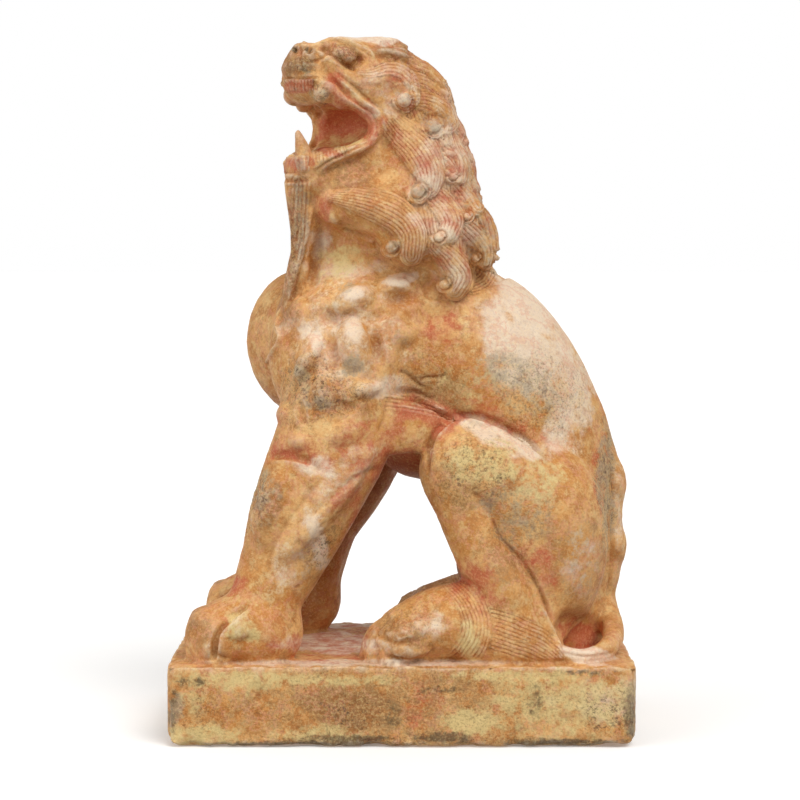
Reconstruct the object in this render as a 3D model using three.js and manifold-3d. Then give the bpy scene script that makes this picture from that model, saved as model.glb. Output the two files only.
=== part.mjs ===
// A small marble lion, seated on its haunches with its head turned and its mouth open,
// carved from one block with its low rectangular plinth.
// Millimetres, +Z up. The lion faces -X and its near flank faces -Y. The origin is the
// middle of the plinth's underside.
import * as THREE from 'three';
import { MarchingCubes } from 'three/addons/objects/MarchingCubes.js';
import Module from 'manifold-3d';

// Driving sizes.
const PLINTH = { length: 264, depth: 151, height: 45.5, corner: 8, edge: 3 };
const DATUM = 2.5; // the lion is laid out from a level this far above the underside
const NEAR = -1;
const FAR = 1;
const HEAD = { at: [-12, -4, 362], turn: 36, raise: 6 };
const MOUTH = { corner: [25, 30, -19] };
const TEETH = { across: 8, width: 3.1, height: 7 };
const LOCK = { thickness: 4.2, knob: 3.3, tipLift: 2.2 };
const SURFACE_TRIANGLES = 9600;
const NECK = 244; // above this level the surface is kept finer
const COLOUR = { marble: 0xc99a70 };

const REACH = 6; // how far from the surface the clay's depth is measured

const vec = (x, y, z) => new THREE.Vector3(x, y, z);
const turned = (x, y, z) => new THREE.Quaternion().setFromEuler(
  new THREE.Euler(...[x, y, z].map(THREE.MathUtils.degToRad), 'ZYX'),
);

// An egg with three half-axes, turned by a quaternion.
function egg(centre, half, turn = new THREE.Quaternion()) {
  const m = new THREE.Matrix4().makeRotationFromQuaternion(turn).elements;
  const [hx, hy, hz] = half;
  const at = (x, y, z) => {
    const dx = x - centre.x;
    const dy = y - centre.y;
    const dz = z - centre.z;
    const a = (m[0] * dx + m[1] * dy + m[2] * dz) / hx;
    const b = (m[4] * dx + m[5] * dy + m[6] * dz) / hy;
    const c = (m[8] * dx + m[9] * dy + m[10] * dz) / hz;
    const near = Math.sqrt(a * a + b * b + c * c);
    const slope = Math.sqrt((a * a) / (hx * hx) + (b * b) / (hy * hy) + (c * c) / (hz * hz));
    return slope > 1e-9 ? (near * (near - 1)) / slope : -Math.min(hx, hy, hz);
  };
  return { centre, reach: Math.max(hx, hy, hz), at };
}

const ball = (centre, radius) => egg(centre, [radius, radius, radius]);

// A limb follows a smooth curve through its stations [x, y, z, radius]; flat squeezes
// its section along the axes.
function limb(stations, flat = [1, 1, 1], steps = 5) {
  const [sx, sy, sz] = flat;
  const curve = new THREE.CatmullRomCurve3(
    stations.map(([x, y, z]) => vec(x / sx, y / sy, z / sz)), false, 'centripetal',
  );
  const spans = stations.length - 1;
  const nodes = [];
  for (let i = 0; i <= spans * steps; i++) {
    const t = i / (spans * steps);
    const k = Math.min(Math.floor(t * spans), spans - 1);
    const radius = THREE.MathUtils.lerp(stations[k][3], stations[k + 1][3], t * spans - k);
    nodes.push({ p: curve.getPoint(t), radius });
  }
  const links = nodes.slice(1).map((end, i) => {
    const start = nodes[i];
    const way = end.p.clone().sub(start.p);
    return { p: start.p, way, square: Math.max(way.lengthSq(), 1e-9), from: start.radius,
      grow: end.radius - start.radius };
  });
  const box = new THREE.Box3();
  for (const { p, radius } of nodes) {
    const middle = vec(p.x * sx, p.y * sy, p.z * sz);
    box.expandByPoint(middle.clone().addScalar(radius)).expandByPoint(middle.subScalar(radius));
  }
  const at = (x, y, z) => {
    const px = x / sx;
    const py = y / sy;
    const pz = z / sz;
    let best = Infinity;
    for (const { p, way, square, from, grow } of links) {
      const dx = px - p.x;
      const dy = py - p.y;
      const dz = pz - p.z;
      const along = Math.min(Math.max((dx * way.x + dy * way.y + dz * way.z) / square, 0), 1);
      const ex = dx - along * way.x;
      const ey = dy - along * way.y;
      const ez = dz - along * way.z;
      const depth = Math.sqrt(ex * ex + ey * ey + ez * ez) - from - along * grow;
      if (depth < best) best = depth;
    }
    return best;
  };
  return { centre: box.getCenter(vec(0, 0, 0)), reach: box.getSize(vec(0, 0, 0)).length() / 2, at };
}

// A block with rounded edges.
function block(centre, half, round) {
  const at = (x, y, z) => {
    const qx = Math.abs(x - centre.x) - half[0] + round;
    const qy = Math.abs(y - centre.y) - half[1] + round;
    const qz = Math.abs(z - centre.z) - half[2] + round;
    const outside = Math.hypot(Math.max(qx, 0), Math.max(qy, 0), Math.max(qz, 0));
    return outside + Math.min(Math.max(qx, qy, qz), 0) - round;
  };
  return { centre, reach: Math.hypot(...half), at };
}

// The lesser of two depths, rounded over where they are close.
function blendMin(a, b, width) {
  const h = Math.max(width - Math.abs(a - b), 0);
  return Math.min(a, b) - (h * h) / (4 * width);
}

// Clay is forms added and cut in turn. Each form gives its depth at a point, negative
// inside, and is blended in over a small width.
class Clay {
  constructor(strokes = []) {
    this.strokes = strokes;
  }

  add(form, blend = 4) {
    this.strokes.push({ form, blend, cut: false });
    return this;
  }

  cut(form, blend = 3) {
    this.strokes.push({ form, blend, cut: true });
    return this;
  }

  // The strokes that matter within a distance of a point.
  near(point, distance) {
    return new Clay(this.strokes.filter(({ form, blend }) => (
      form.centre.distanceTo(point) < form.reach + distance + blend + REACH)));
  }

  depth(x, y, z) {
    let depth = REACH * 2;
    for (const { form, blend, cut } of this.strokes) {
      const c = form.centre;
      const gap = Math.hypot(x - c.x, y - c.y, z - c.z) - form.reach;
      if (cut) {
        if (gap < blend - depth) depth = -blendMin(-depth, form.at(x, y, z), blend);
      } else if (gap < depth + blend) {
        depth = blendMin(depth, form.at(x, y, z), blend);
      }
    }
    return depth;
  }

  // The point where a straight path from a start first meets the surface.
  meet(from, direction, limit = 120) {
    const p = from.clone();
    for (let gone = 0; gone < limit;) {
      const depth = this.depth(p.x, p.y, p.z);
      if (depth < 0.05) break;
      const step = Math.max(depth * 0.6, 0.1);
      p.addScaledVector(direction, step);
      gone += step;
    }
    return p;
  }

  // The surface point nearest to a point, found by stepping along the depth's slope.
  rest(from) {
    const p = from.clone();
    for (let round = 0; round < 6; round++) {
      p.addScaledVector(this.outward(p), -0.85 * this.depth(p.x, p.y, p.z));
    }
    return p;
  }

  // The outward direction of the surface at a point.
  outward(p, h = 0.3) {
    return vec(
      this.depth(p.x + h, p.y, p.z) - this.depth(p.x - h, p.y, p.z),
      this.depth(p.x, p.y + h, p.z) - this.depth(p.x, p.y - h, p.z),
      this.depth(p.x, p.y, p.z + h) - this.depth(p.x, p.y, p.z - h),
    ).normalize();
  }
}

// A point of the surface seen square on from the near or the far side. Past the outline it
// is the nearest point of the back.
function sidePoint(clay, x, z, side, lift = 0) {
  const p = clay.rest(clay.meet(vec(x, side * 80, z), vec(0, -side, 0), 66));
  return p.addScaledVector(clay.outward(p), lift);
}

// A low swelling or hollow laid on a flank: half-axes along, across and out of the surface,
// with its long axis turned by an angle in the side view.
function flankEgg(clay, x, z, side, half, angle, lift = 0) {
  return egg(sidePoint(clay, x, z, side, lift), half, turned(0, -angle, 0));
}

// The plinth: worn round at the lower corners of its long faces and level on top.
function carvePlinth(clay) {
  const { length, depth, height, corner, edge } = PLINTH;
  const top = height - DATUM;
  const lift = top + corner - height / 2;
  const profile = block(vec(0, 0, lift), [length / 2, depth, height / 2 + corner], corner);
  const sides = block(vec(0, 0, lift), [length / 2, depth / 2, height / 2 + corner], edge);
  const at = (x, y, z) => Math.max(profile.at(x, 0, z), sides.at(x, y, z), z - top);
  clay.add({ ...sides, at }, 1);
}

function carveTorso(clay) {
  const width = 0.84;
  clay.add(limb([
    [-30, 0, 222, 46], [2, 0, 222, 55], [39, 0, 207, 56.5], [64, 0, 172, 52.5], [76, 0, 130, 49],
    [77, 0, 92, 45], [78, 0, 60, 41],
  ], [1, width, 1]), 6);
  clay.add(egg(vec(16, 0, 180), [36, 38, 40], turned(0, 30, 0)), 12);
  clay.add(egg(vec(20, 0, 244), [29, 34, 28]), 14);
  clay.add(limb([[-10, 0, 330, 36], [-20, 2, 296, 37], [-24, 2, 250, 40]]), 10);
  // The breast is turned a little to the near side: its far half stands further forward.
  clay.add(egg(vec(-55, 27, 220), [39, 31, 45], turned(0, -8, -14)), 12);
  clay.add(egg(vec(-42, -20, 214), [35, 30, 46], turned(0, 0, 14)), 9);
  clay.add(egg(vec(-22, -28, 214), [38, 28, 48]), 16);
  clay.add(egg(vec(-22, 30, 214), [38, 26, 48]), 16);
  // The spine stands up as a knobbed ridge down the rump.
  const ridge = [
    [62, 253], [80, 239], [98, 218], [110, 198], [118, 177], [125, 155], [131, 137], [128.5, 119],
    [131, 102], [127.5, 84], [123.5, 66], [121, 50],
  ];
  clay.add(limb(ridge.map(([x, z], i) => [x - 8, 0, z, i < 4 ? 7 : 9])), 8);
  ridge.slice(4, 11).forEach(([x, z]) => clay.add(egg(vec(x - 6.6, 0, z), [7, 11, 9]), 3));
}

function carveForeleg(clay, side) {
  const near = side === NEAR;
  const y = side * 43;
  // The far leg stands further back and more upright than the near one.
  const stations = near
    ? [[-32, 196, 30], [-39, 168, 33], [-50, 143, 31], [-59, 122, 28.5], [-68, 99, 24], [-77, 78, 20.5],
      [-80, 62, 21.5]]
    : [[-18, 196, 30], [-24, 168, 31], [-35, 138, 27], [-51, 111, 24.5], [-61, 78, 24], [-61, 62, 23.5]];
  clay.add(limb(stations.map(([x, z, r]) => {
    const stance = z > 190 ? -4 : Math.max(0, 110 - z) * 0.1;
    return [x, y + side * stance, z, r];
  }), [1, 0.86, 1]), 10);
  // Long bellies of muscle with a groove between them.
  const back = near ? 0 : 14;
  clay.add(flankEgg(clay, -71 + back, 132, side, [25, 7, 12.5], 66, -2.5), 5);
  clay.add(flankEgg(clay, -46 + back, 134, side, [38, 6, 10], 56, -3), 5);
  clay.add(flankEgg(clay, -33 + back, 138, side, [30, 5, 6], 52, -2.5), 4);
  carveForepaw(clay, side, near ? 0 : 4);
}

function carveForepaw(clay, side, dx) {
  const y = side * 47;
  const rise = dx / 2;
  clay.add(egg(vec(-88 + dx, y, 58 + rise), [30, 23, 21]), 7);
  clay.add(egg(vec(-77 + dx, y, 56 + rise), [19, 22, 18]), 6);
  // Four toes spread over the front of the paw.
  const toes = [[-103, 14.5, 56, 13], [-110, 6, 58, 12.5], [-111, -5, 58, 12.5], [-104, -15, 57, 12]];
  for (const [x, across, z, r] of toes) {
    clay.add(limb([
      [x + dx + 17, y + side * across * 0.8, z + 11 + rise, r * 0.8],
      [x + dx, y + side * across, z + 1 + rise, r],
      [x + dx - 3, y + side * across, z - 8, r * 0.86],
    ]), 3.5);
  }
}

function carveHindLeg(clay, side) {
  const near = side === NEAR;
  const y = side * 47;
  const dx = near ? 0 : 8;
  const sink = near ? 0 : 8;
  // Haunch and knee.
  clay.add(egg(vec(76, side * 30, 106), [43, 35, 62], turned(0, 4, 0)), 4);
  clay.add(limb([
    [34 + dx, side * 42, 150, 23.5], [54 + dx, side * 42, 141, 30], [78, side * 36, 122, 36],
  ], [1, 0.84, 1]), 2.5);
  clay.add(limb([
    [33 + dx, side * 44, 150, 21.5], [39 + dx, side * 46, 130, 20], [49 + dx, side * 48, 106, 20],
    [61 + dx, side * 51, 80, 20], [72 + dx, side * 53, 58, 19],
  ]), 6);
  // Long foot from the heel to the toes.
  clay.add(limb([
    [76, y + side * 4, 50, 17], [52, y + side * 3, 56, 20], [30 + dx, y, 64 - sink, 22],
    [8 + dx, y, 58 - sink, 19], [-6 + dx * 2, y, 52 - sink, 14.5],
  ]), 6);
  const toes = [[0, 17, 53, 10.5], [-9, 8, 52, 10.5], [-12, -3, 52, 10.5], [-7, -14, 52, 10]];
  for (const [x, across, z, r] of toes) {
    clay.add(limb([
      [x + dx * 2 + 14, y + side * across * 0.8, z + 7 - sink, r * 0.9],
      [x + dx * 2, y + side * across, z - sink, r],
      [x + dx * 2 - 4, y + side * across, z - 6, r * 0.8],
    ]), 3);
  }
  // The groove between the thigh and the shank.
  const groove = [[44, 136], [52, 124], [61, 109], [70, 94], [78, 76], [85, 58]];
  clay.cut(limb(groove.map(([x, z]) => {
    const p = sidePoint(clay, x, z, side, 1);
    return [p.x, p.y, p.z, 3];
  })), 6);
}

// The tail leaves the rump low down and lies round the end of the plinth to the near heel.
function carveTail(clay) {
  clay.add(limb([
    [118, 0, 66, 9], [122, -16, 58, 7.5], [122, -34, 52, 6.5], [117, -50, 50, 6], [105, -60, 49, 6],
    [90, -63, 49, 6], [80, -64, 49, 5],
  ]), 3);
  clay.cut(egg(vec(101, -56, 61), [15, 16, 11]), 4);
}

// A fringe of hair runs back from the elbow under the knee like a flat flame.
function carveElbowFringe(clay, side) {
  const squeeze = 0.36;
  clay.add(limb([
    [-24, side * 53, 177, 17], [-6, side * 51, 176, 17], [8, side * 49, 174, 14],
    [20, side * 47, 172, 10], [32, side * 44, 172, 6],
  ], [1, squeeze, 1]), 4);
}

// Oval swellings over the breast and shoulder: x, z, half length, half width, slant.
function carveMuscles(clay, side) {
  const swellings = [
    [-44, 245, 9, 5.5, 10], [-26, 247, 10, 6.5, 5], [-4, 250, 11, 7, 15], [-6, 234, 9, 6, 25],
    [-29, 219, 12, 8, 80], [-53, 213, 13, 6.5, 72], [-11, 212, 13, 7, 60], [-53, 189, 12, 8, 75],
    [-28, 190, 13, 8, 65],
  ];
  for (const [x, z, long, wide, slant] of swellings) {
    clay.add(flankEgg(clay, x, z, side, [long, 3.6, wide], slant, -1.4), 6);
  }
}

// The head's own frame: forward, out to the near side, up.
class HeadFrame {
  constructor({ at, turn, raise }) {
    const t = THREE.MathUtils.degToRad(turn);
    const r = THREE.MathUtils.degToRad(raise);
    this.origin = vec(...at);
    this.forward = vec(-Math.cos(t) * Math.cos(r), -Math.sin(t) * Math.cos(r), Math.sin(r));
    this.side = vec(Math.sin(t), -Math.cos(t), 0);
    this.up = this.forward.clone().cross(this.side);
    this.turn = new THREE.Quaternion().setFromRotationMatrix(
      new THREE.Matrix4().makeBasis(this.forward, this.side, this.up),
    );
  }

  point(a, b, c) {
    return this.origin.clone().addScaledVector(this.forward, a)
      .addScaledVector(this.side, b).addScaledVector(this.up, c);
  }

  // An egg with its half-axes along the head's own axes, tilted in degrees.
  egg([a, b, c], half, tilt = [0, 0, 0]) {
    return egg(this.point(a, b, c), half, this.turn.clone().multiply(turned(...tilt)));
  }

  limb(stations, steps) {
    return limb(stations.map(([a, b, c, r]) => [...this.point(a, b, c).toArray(), r]), [1, 1, 1], steps);
  }
}

function carveSkull(clay, head) {
  clay.add(head.egg([4, 0, 6.5], [29.5, 33, 30]), 6);
  clay.add(head.egg([24, 0, 12], [24, 27, 20]), 8);
  for (const s of [-1, 1]) {
    clay.add(head.egg([14, s * 20, 0], [24, 15, 26]), 8);
    clay.add(head.egg([33, s * 17, 4], [20, 12, 14], [0, -18, s * -22]), 6);
  }
  // Nose bridge and the broad blunt muzzle.
  clay.add(head.limb([[30, 0, 18, 13], [44, 0, 14.5, 12], [55, 0, 14.5, 10.5]]), 5);
  clay.add(head.egg([51, 0, 9], [14, 18, 12]), 5);
  clay.add(head.egg([59, 0, 18], [5.5, 9.5, 6.5]), 3);
}

function carveMouth(clay, head) {
  const [a, b, c] = MOUTH.corner;
  // Lower jaw, dropped open.
  clay.add(head.egg([16, 0, -34], [22, 29, 15], [0, 16, 0]), 8);
  clay.add(head.egg([33, 0, -47], [21, 23, 11], [0, 20, 0]), 7);
  clay.add(head.egg([46, 0, -52.5], [10, 16.5, 8], [0, 12, 0]), 5);
  // The open mouth: a wedge that narrows to the cheeks.
  clay.cut(head.egg([a + 22, 0, c - 3], [28, 40, 12.5], [0, 8, 0]), 3);
  clay.cut(head.egg([a + 30, 0, c - 2], [24, 44, 16], [0, 8, 0]), 3);
  clay.cut(head.egg([a + 22, -24, c + 3], [22, 16, 14], [0, 8, 0]), 3);
  clay.cut(head.egg([a + 6, 0, c - 1], [22, b - 6, 12], [0, 10, 0]), 3);
  // Lips along both jaws.
  for (const s of [-1, 1]) {
    const drawn = s < 0 ? 4.5 : 0; // the far side of the upper lip is drawn up more
    clay.add(head.limb([
      [61.5, s * 4, 4, 3], [58, s * 13, 3.5, 3], [51, s * 19, 1.5 + drawn, 2.8],
      [43, s * 23.5, -6 + drawn, 2.6], [32, s * 28, -9.5 + drawn, 2.6], [a, s * b, -13.5, 2.6],
      [a - 2, s * (b + 1), c - 2, 2.6], [a + 1, s * b, c - 10, 2.6], [38, s * 25, -36, 2.6],
      [47, s * 20.5, -42, 2.6], [51, s * 12.5, -48, 2.8], [53.5, s * 4, -50, 2.8],
    ], 4), 2.5);
  }
}

function carveTeeth(clay, head) {
  // Upper front teeth in a curved row, with the palate's edge behind them.
  const { across, width, height } = TEETH;
  for (let i = 0; i < across; i++) {
    const s = i - (across - 1) / 2;
    const b = s * width;
    const a = 60 - 0.02 * b * b;
    clay.add(head.egg([a, b, 0.5], [2.4, width * 0.56, height * 0.72]), 1);
  }
  clay.add(head.egg([51, 0, -3], [9, 14, 6.5], [0, -14, 0]), 3);
  for (const s of [-1, 1]) {
    // Upper side teeth as a rough mass, lower fangs and the lower side teeth.
    clay.add(head.egg([49, s * 15, -3.5], [6.5, 4.6, 6]), 2);
    clay.add(head.egg([41, s * 19, -6], [6, 4.2, 6]), 2);
    clay.add(head.limb([[50, s * 15, -43, 3.4], [40, s * 20, -38, 3], [31, s * 23, -33, 2.6]]), 2);
  }
  // The near lower fang stands whole and the far one is a worn stump.
  clay.add(head.limb([[54, 9, -45, 5], [57, 9, -37, 4.6], [61, 8.5, -27, 1.8]]), 2);
  clay.add(head.limb([[51, -9, -45, 4], [52, -9, -40, 3]]), 2);
  clay.add(head.egg([53, 0, -44.5], [3.6, 9, 4.5]), 2);
  // Tongue.
  clay.add(head.egg([34, 0, -38], [19, 12, 5], [0, 16, 0]), 4);
}

function carveFace(clay, head) {
  for (const s of [-1, 1]) {
    // Nostrils and the wing behind each.
    clay.cut(head.egg([62.5, s * 5.4, 19], [3, 3.2, 3]), 1.5);
    clay.add(head.egg([54.5, s * 9.5, 16.5], [5.6, 4, 4.4]), 2.5);
    clay.cut(head.egg([52, s * 14, 13.5], [6, 2.4, 2.2], [0, 20, s * -25]), 2.5);
    // Sunk lozenge of the eye with a bulging ball in it.
    clay.cut(head.egg([42, s * 22.5, 17.5], [14.5, 6.5, 8.2], [s * 20, 34, s * -32]), 3);
    clay.add(head.egg([42.5, s * 18, 16.5], [9.5, 6.8, 6.4], [0, 34, s * -32]), 2);
    // Brow over it and the ridge of the cheek under it.
    clay.add(head.limb([
      [53, s * 9, 22.5, 2.6], [47, s * 14, 25.5, 3], [39, s * 20, 24.5, 3], [30, s * 25.5, 20.5, 2.6],
    ], 4), 3);
    clay.add(head.limb([
      [53, s * 15.5, 17, 2], [48, s * 20, 9.5, 2.4], [38, s * 26, 3.5, 3.2], [27, s * 31, 4, 4],
      [17, s * 34, 9, 4],
    ], 4), 3);
    // Ear: a short hollow behind the brow with a rim.
    clay.add(head.egg([15, s * 28, 22], [11, 5, 5.5], [0, 8, s * -16]), 3);
    clay.cut(head.egg([19, s * 26.5, 27], [7, 3, 2.6], [0, 10, s * -16]), 2);
  }
}

// The beard hangs from the chin to the breast as a tapering strap, tied to the throat by a
// web of stone.
function carveBeard(clay, head) {
  const top = head.point(52, -1, -55);
  clay.add(limb([[-44, -26, 306, 10], [-47, -23, 282, 9], [-54, -20, 256, 8]]), 6);
  clay.add(limb([
    [top.x + 1, top.y, top.z, 8.6], [top.x + 3, top.y + 1, 294, 8.2], [top.x + 3, top.y + 4, 276, 7],
    [-62, -32, 256, 5.6], [-66, -25, 238, 3.8], [-68.5, -19, 229, 2.4],
  ], [1, 0.75, 1]), 2.5);
}

function carveManeMass(clay) {
  clay.add(egg(vec(-2, 2, 351), [30, 45, 37]), 8);
  clay.add(egg(vec(5, 1, 314), [35.5, 50, 44]), 10);
  clay.add(egg(vec(11, 0, 286), [34.5, 49, 34]), 10);
  for (const side of [FAR, NEAR]) {
    // The thick sweep from the throat, fuller on the near side, and the low locks over the
    // shoulder.
    const inward = side === NEAR ? 0 : 5;
    clay.add(limb([
      [-46 + inward, side * (25 - inward), 304, 13], [-28, side * (34 - inward), 303, 18],
      [-10, side * (38 - inward), 297, 19], [4, side * 40, 284, 16],
    ]), side === NEAR ? 5 : 9);
    clay.add(limb([[16, side * 40, 288, 15], [27, side * 39, 270, 11], [29, side * 38, 259, 8]]), 4);
    clay.add(limb([[36, side * 30, 290, 13], [45, side * 24, 274, 9]]), 4);
  }
}

// A lock is a flat tongue that follows the mass from its root, stands up a little towards
// its tip and curls in there on a small knob.
function carveLock(clay, mass, stops, width) {
  const curve = new THREE.CatmullRomCurve3(stops, false, 'centripetal');
  const pieces = 6;
  const share = curve.getLength() / pieces;
  for (let i = 0; i < pieces; i++) {
    const t = (i + 0.5) / pieces;
    const p = mass.rest(curve.getPoint(t));
    const out = mass.outward(p);
    const way = curve.getTangent(t);
    way.addScaledVector(out, -way.dot(out)).normalize();
    const across = out.clone().cross(way);
    const turn = new THREE.Quaternion().setFromRotationMatrix(
      new THREE.Matrix4().makeBasis(way, across, out),
    );
    const wide = (width / 2) * (t < 0.7 ? 0.85 + 0.3 * t : 2.12 - 1.5 * t);
    p.addScaledVector(out, LOCK.tipLift * (t - 0.6));
    clay.add(egg(p, [Math.max(share, wide * 0.9), wide, LOCK.thickness], turn), 1.4);
  }
  const knob = mass.rest(stops[stops.length - 1]);
  clay.add(ball(knob.addScaledVector(mass.outward(knob), LOCK.tipLift), LOCK.knob), 1);
}

// Locks on a side: x and z of the root, the middle, the tip and the knob, then the width.
const SIDE_LOCKS = [
  [-6, 369, 4, 367, 6, 359, 1, 359, 10], [20, 358, 26, 350, 23, 340, 18, 343, 11],
  [8, 381, 17, 376, 23, 366, 25, 364, 13], [26, 363, 33, 354, 37, 343, 38, 338, 13],
  [-8, 349, 7, 334, 16, 313, 9.5, 308, 17], [23, 336, 31, 327, 32, 316, 27, 316.5, 12],
  [37, 332, 41, 323, 44, 312, 44.5, 307, 12], [28, 314, 37, 305, 42, 293, 36, 293, 12],
  [15, 306, 26, 297, 29, 283, 21.5, 282.5, 14], [45, 301, 48.5, 292, 50, 279.5, 52, 271, 12],
  [36, 288, 46, 279.5, 48, 269, 42, 270, 12], [17, 279, 30, 269, 34, 255, 25, 255, 14],
  [-46, 299, -16, 297, 6, 277, -6, 275, 21],
];

function carveMane(clay) {
  const mass = new Clay([...clay.strokes]);
  for (const side of [FAR, NEAR]) {
    for (const lock of SIDE_LOCKS) {
      const stops = [0, 2, 4, 6].map((i) => sidePoint(mass, lock[i], lock[i + 1], side));
      carveLock(clay, mass, stops, lock[8]);
    }
  }
  // Rows of locks down the nape, each staggered against the one above.
  const rows = [[384, 2], [364, 3], [344, 4], [324, 3], [304, 4], [286, 3]];
  const spread = 15;
  const fall = 19;
  rows.forEach(([z, count], row) => {
    const curl = row % 2 ? 4 : -4;
    for (let i = 0; i < count; i++) {
      const y = (i - (count - 1) / 2) * spread;
      const stops = [[y, z], [y - curl / 4, z - fall / 2], [y + curl / 2, z - fall], [y + curl, z - fall + 2]];
      carveLock(clay, mass, stops.map(([across, height]) => (
        mass.meet(vec(90, across, height), vec(-1, 0, 0)))), 14);
    }
  });
}

function carveLion() {
  const clay = new Clay();
  const head = new HeadFrame(HEAD);
  carveTorso(clay);
  carveForeleg(clay, FAR);
  carveForeleg(clay, NEAR);
  carveHindLeg(clay, FAR);
  carveHindLeg(clay, NEAR);
  for (const side of [FAR, NEAR]) {
    carveMuscles(clay, side);
    carveElbowFringe(clay, side);
  }
  carveManeMass(clay);
  carveSkull(clay, head);
  carveMane(clay);
  carveMouth(clay, head);
  carveTeeth(clay, head);
  carveFace(clay, head);
  carveBeard(clay, head);
  carvePlinth(clay);
  carveTail(clay);
  return clay;
}

// Grid lines that are closer together over the head than over the body.
function gridLines(stops) {
  const lines = [];
  for (let i = 0; i + 1 < stops.length; i++) {
    const [from, step] = stops[i];
    const to = stops[i + 1][0];
    const count = Math.max(Math.round((to - from) / step), 1);
    for (let k = 0; k < count; k++) lines.push(from + ((to - from) * k) / count);
  }
  lines.push(stops[stops.length - 1][0]);
  return lines;
}

function surfaceOf(clay) {
  const xs = gridLines([[-138, 2.3], [-72, 1.5], [56, 2.3], [138]]);
  const ys = gridLines([[-82, 1.7], [82]]);
  const zs = gridLines([[-8, 2.2], [244, 1.5], [406]]);
  const size = Math.max(xs.length, ys.length, zs.length) + 3;
  const cubes = new MarchingCubes(size, new THREE.MeshBasicMaterial(), false, false, 700000);
  cubes.isolation = 0;
  cubes.field.fill(-REACH);
  const blockSize = 8;
  for (let k0 = 0; k0 < zs.length; k0 += blockSize) {
    for (let j0 = 0; j0 < ys.length; j0 += blockSize) {
      for (let i0 = 0; i0 < xs.length; i0 += blockSize) {
        const i1 = Math.min(i0 + blockSize, xs.length);
        const j1 = Math.min(j0 + blockSize, ys.length);
        const k1 = Math.min(k0 + blockSize, zs.length);
        const box = new THREE.Box3(vec(xs[i0], ys[j0], zs[k0]), vec(xs[i1 - 1], ys[j1 - 1], zs[k1 - 1]));
        const middle = box.getCenter(vec(0, 0, 0));
        const local = clay.near(middle, box.getSize(vec(0, 0, 0)).length() / 2);
        for (let k = k0; k < k1; k++) {
          for (let j = j0; j < j1; j++) {
            for (let i = i0; i < i1; i++) {
              const depth = THREE.MathUtils.clamp(local.depth(xs[i], ys[j], zs[k]), -REACH, REACH);
              const kept = Math.abs(depth) < 0.03 ? 0.03 * (depth < 0 ? -1 : 1) : depth;
              cubes.field[(k + 1) * size * size + (j + 1) * size + i + 1] = -kept;
            }
          }
        }
      }
    }
  }
  cubes.update();
  return weld(cubes, size, [xs, ys, zs]);
}

// Each corner of the cubes' surface lies on one grid edge, which is its name: corners
// of the same name are one vertex.
function weld(cubes, size, lines) {
  const names = new Map();
  const points = [];
  const faces = [];
  const half = size / 2;
  const position = cubes.positionArray;
  for (let n = 0; n < cubes.count; n++) {
    const cell = [0, 1, 2].map((axis) => (position[3 * n + axis] + 1) * half - 1);
    const whole = cell.map((value) => Math.round(value));
    const axis = [0, 1, 2].reduce((a, b) => (
      Math.abs(cell[b] - whole[b]) > Math.abs(cell[a] - whole[a]) ? b : a), 0);
    whole[axis] = Math.floor(cell[axis]);
    const name = ((whole[2] * size + whole[1]) * size + whole[0]) * 3 + axis;
    if (!names.has(name)) {
      names.set(name, points.length);
      points.push(vec(...cell.map((value, a) => {
        const low = Math.max(a === axis ? Math.floor(value) : Math.round(value), 0);
        const high = Math.min(low + 1, lines[a].length - 1);
        return THREE.MathUtils.lerp(lines[a][low], lines[a][high], a === axis ? value - low : 0);
      })));
    }
    faces.push(names.get(name));
  }
  return { points, faces };
}

// Slide each vertex along the surface's slope onto the clay itself.
function settle({ points }, clay) {
  const cellSize = 16;
  const cells = new Map();
  for (const p of points) {
    const cell = [p.x, p.y, p.z].map((v) => Math.floor(v / cellSize));
    const name = cell.join();
    if (!cells.has(name)) {
      const middle = vec(...cell.map((v) => (v + 0.5) * cellSize));
      cells.set(name, clay.near(middle, cellSize));
    }
    const local = cells.get(name);
    for (let round = 0; round < 2; round++) {
      const depth = local.depth(p.x, p.y, p.z);
      p.addScaledVector(local.outward(p), THREE.MathUtils.clamp(-depth, -0.8, 0.8));
    }
  }
}

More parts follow.
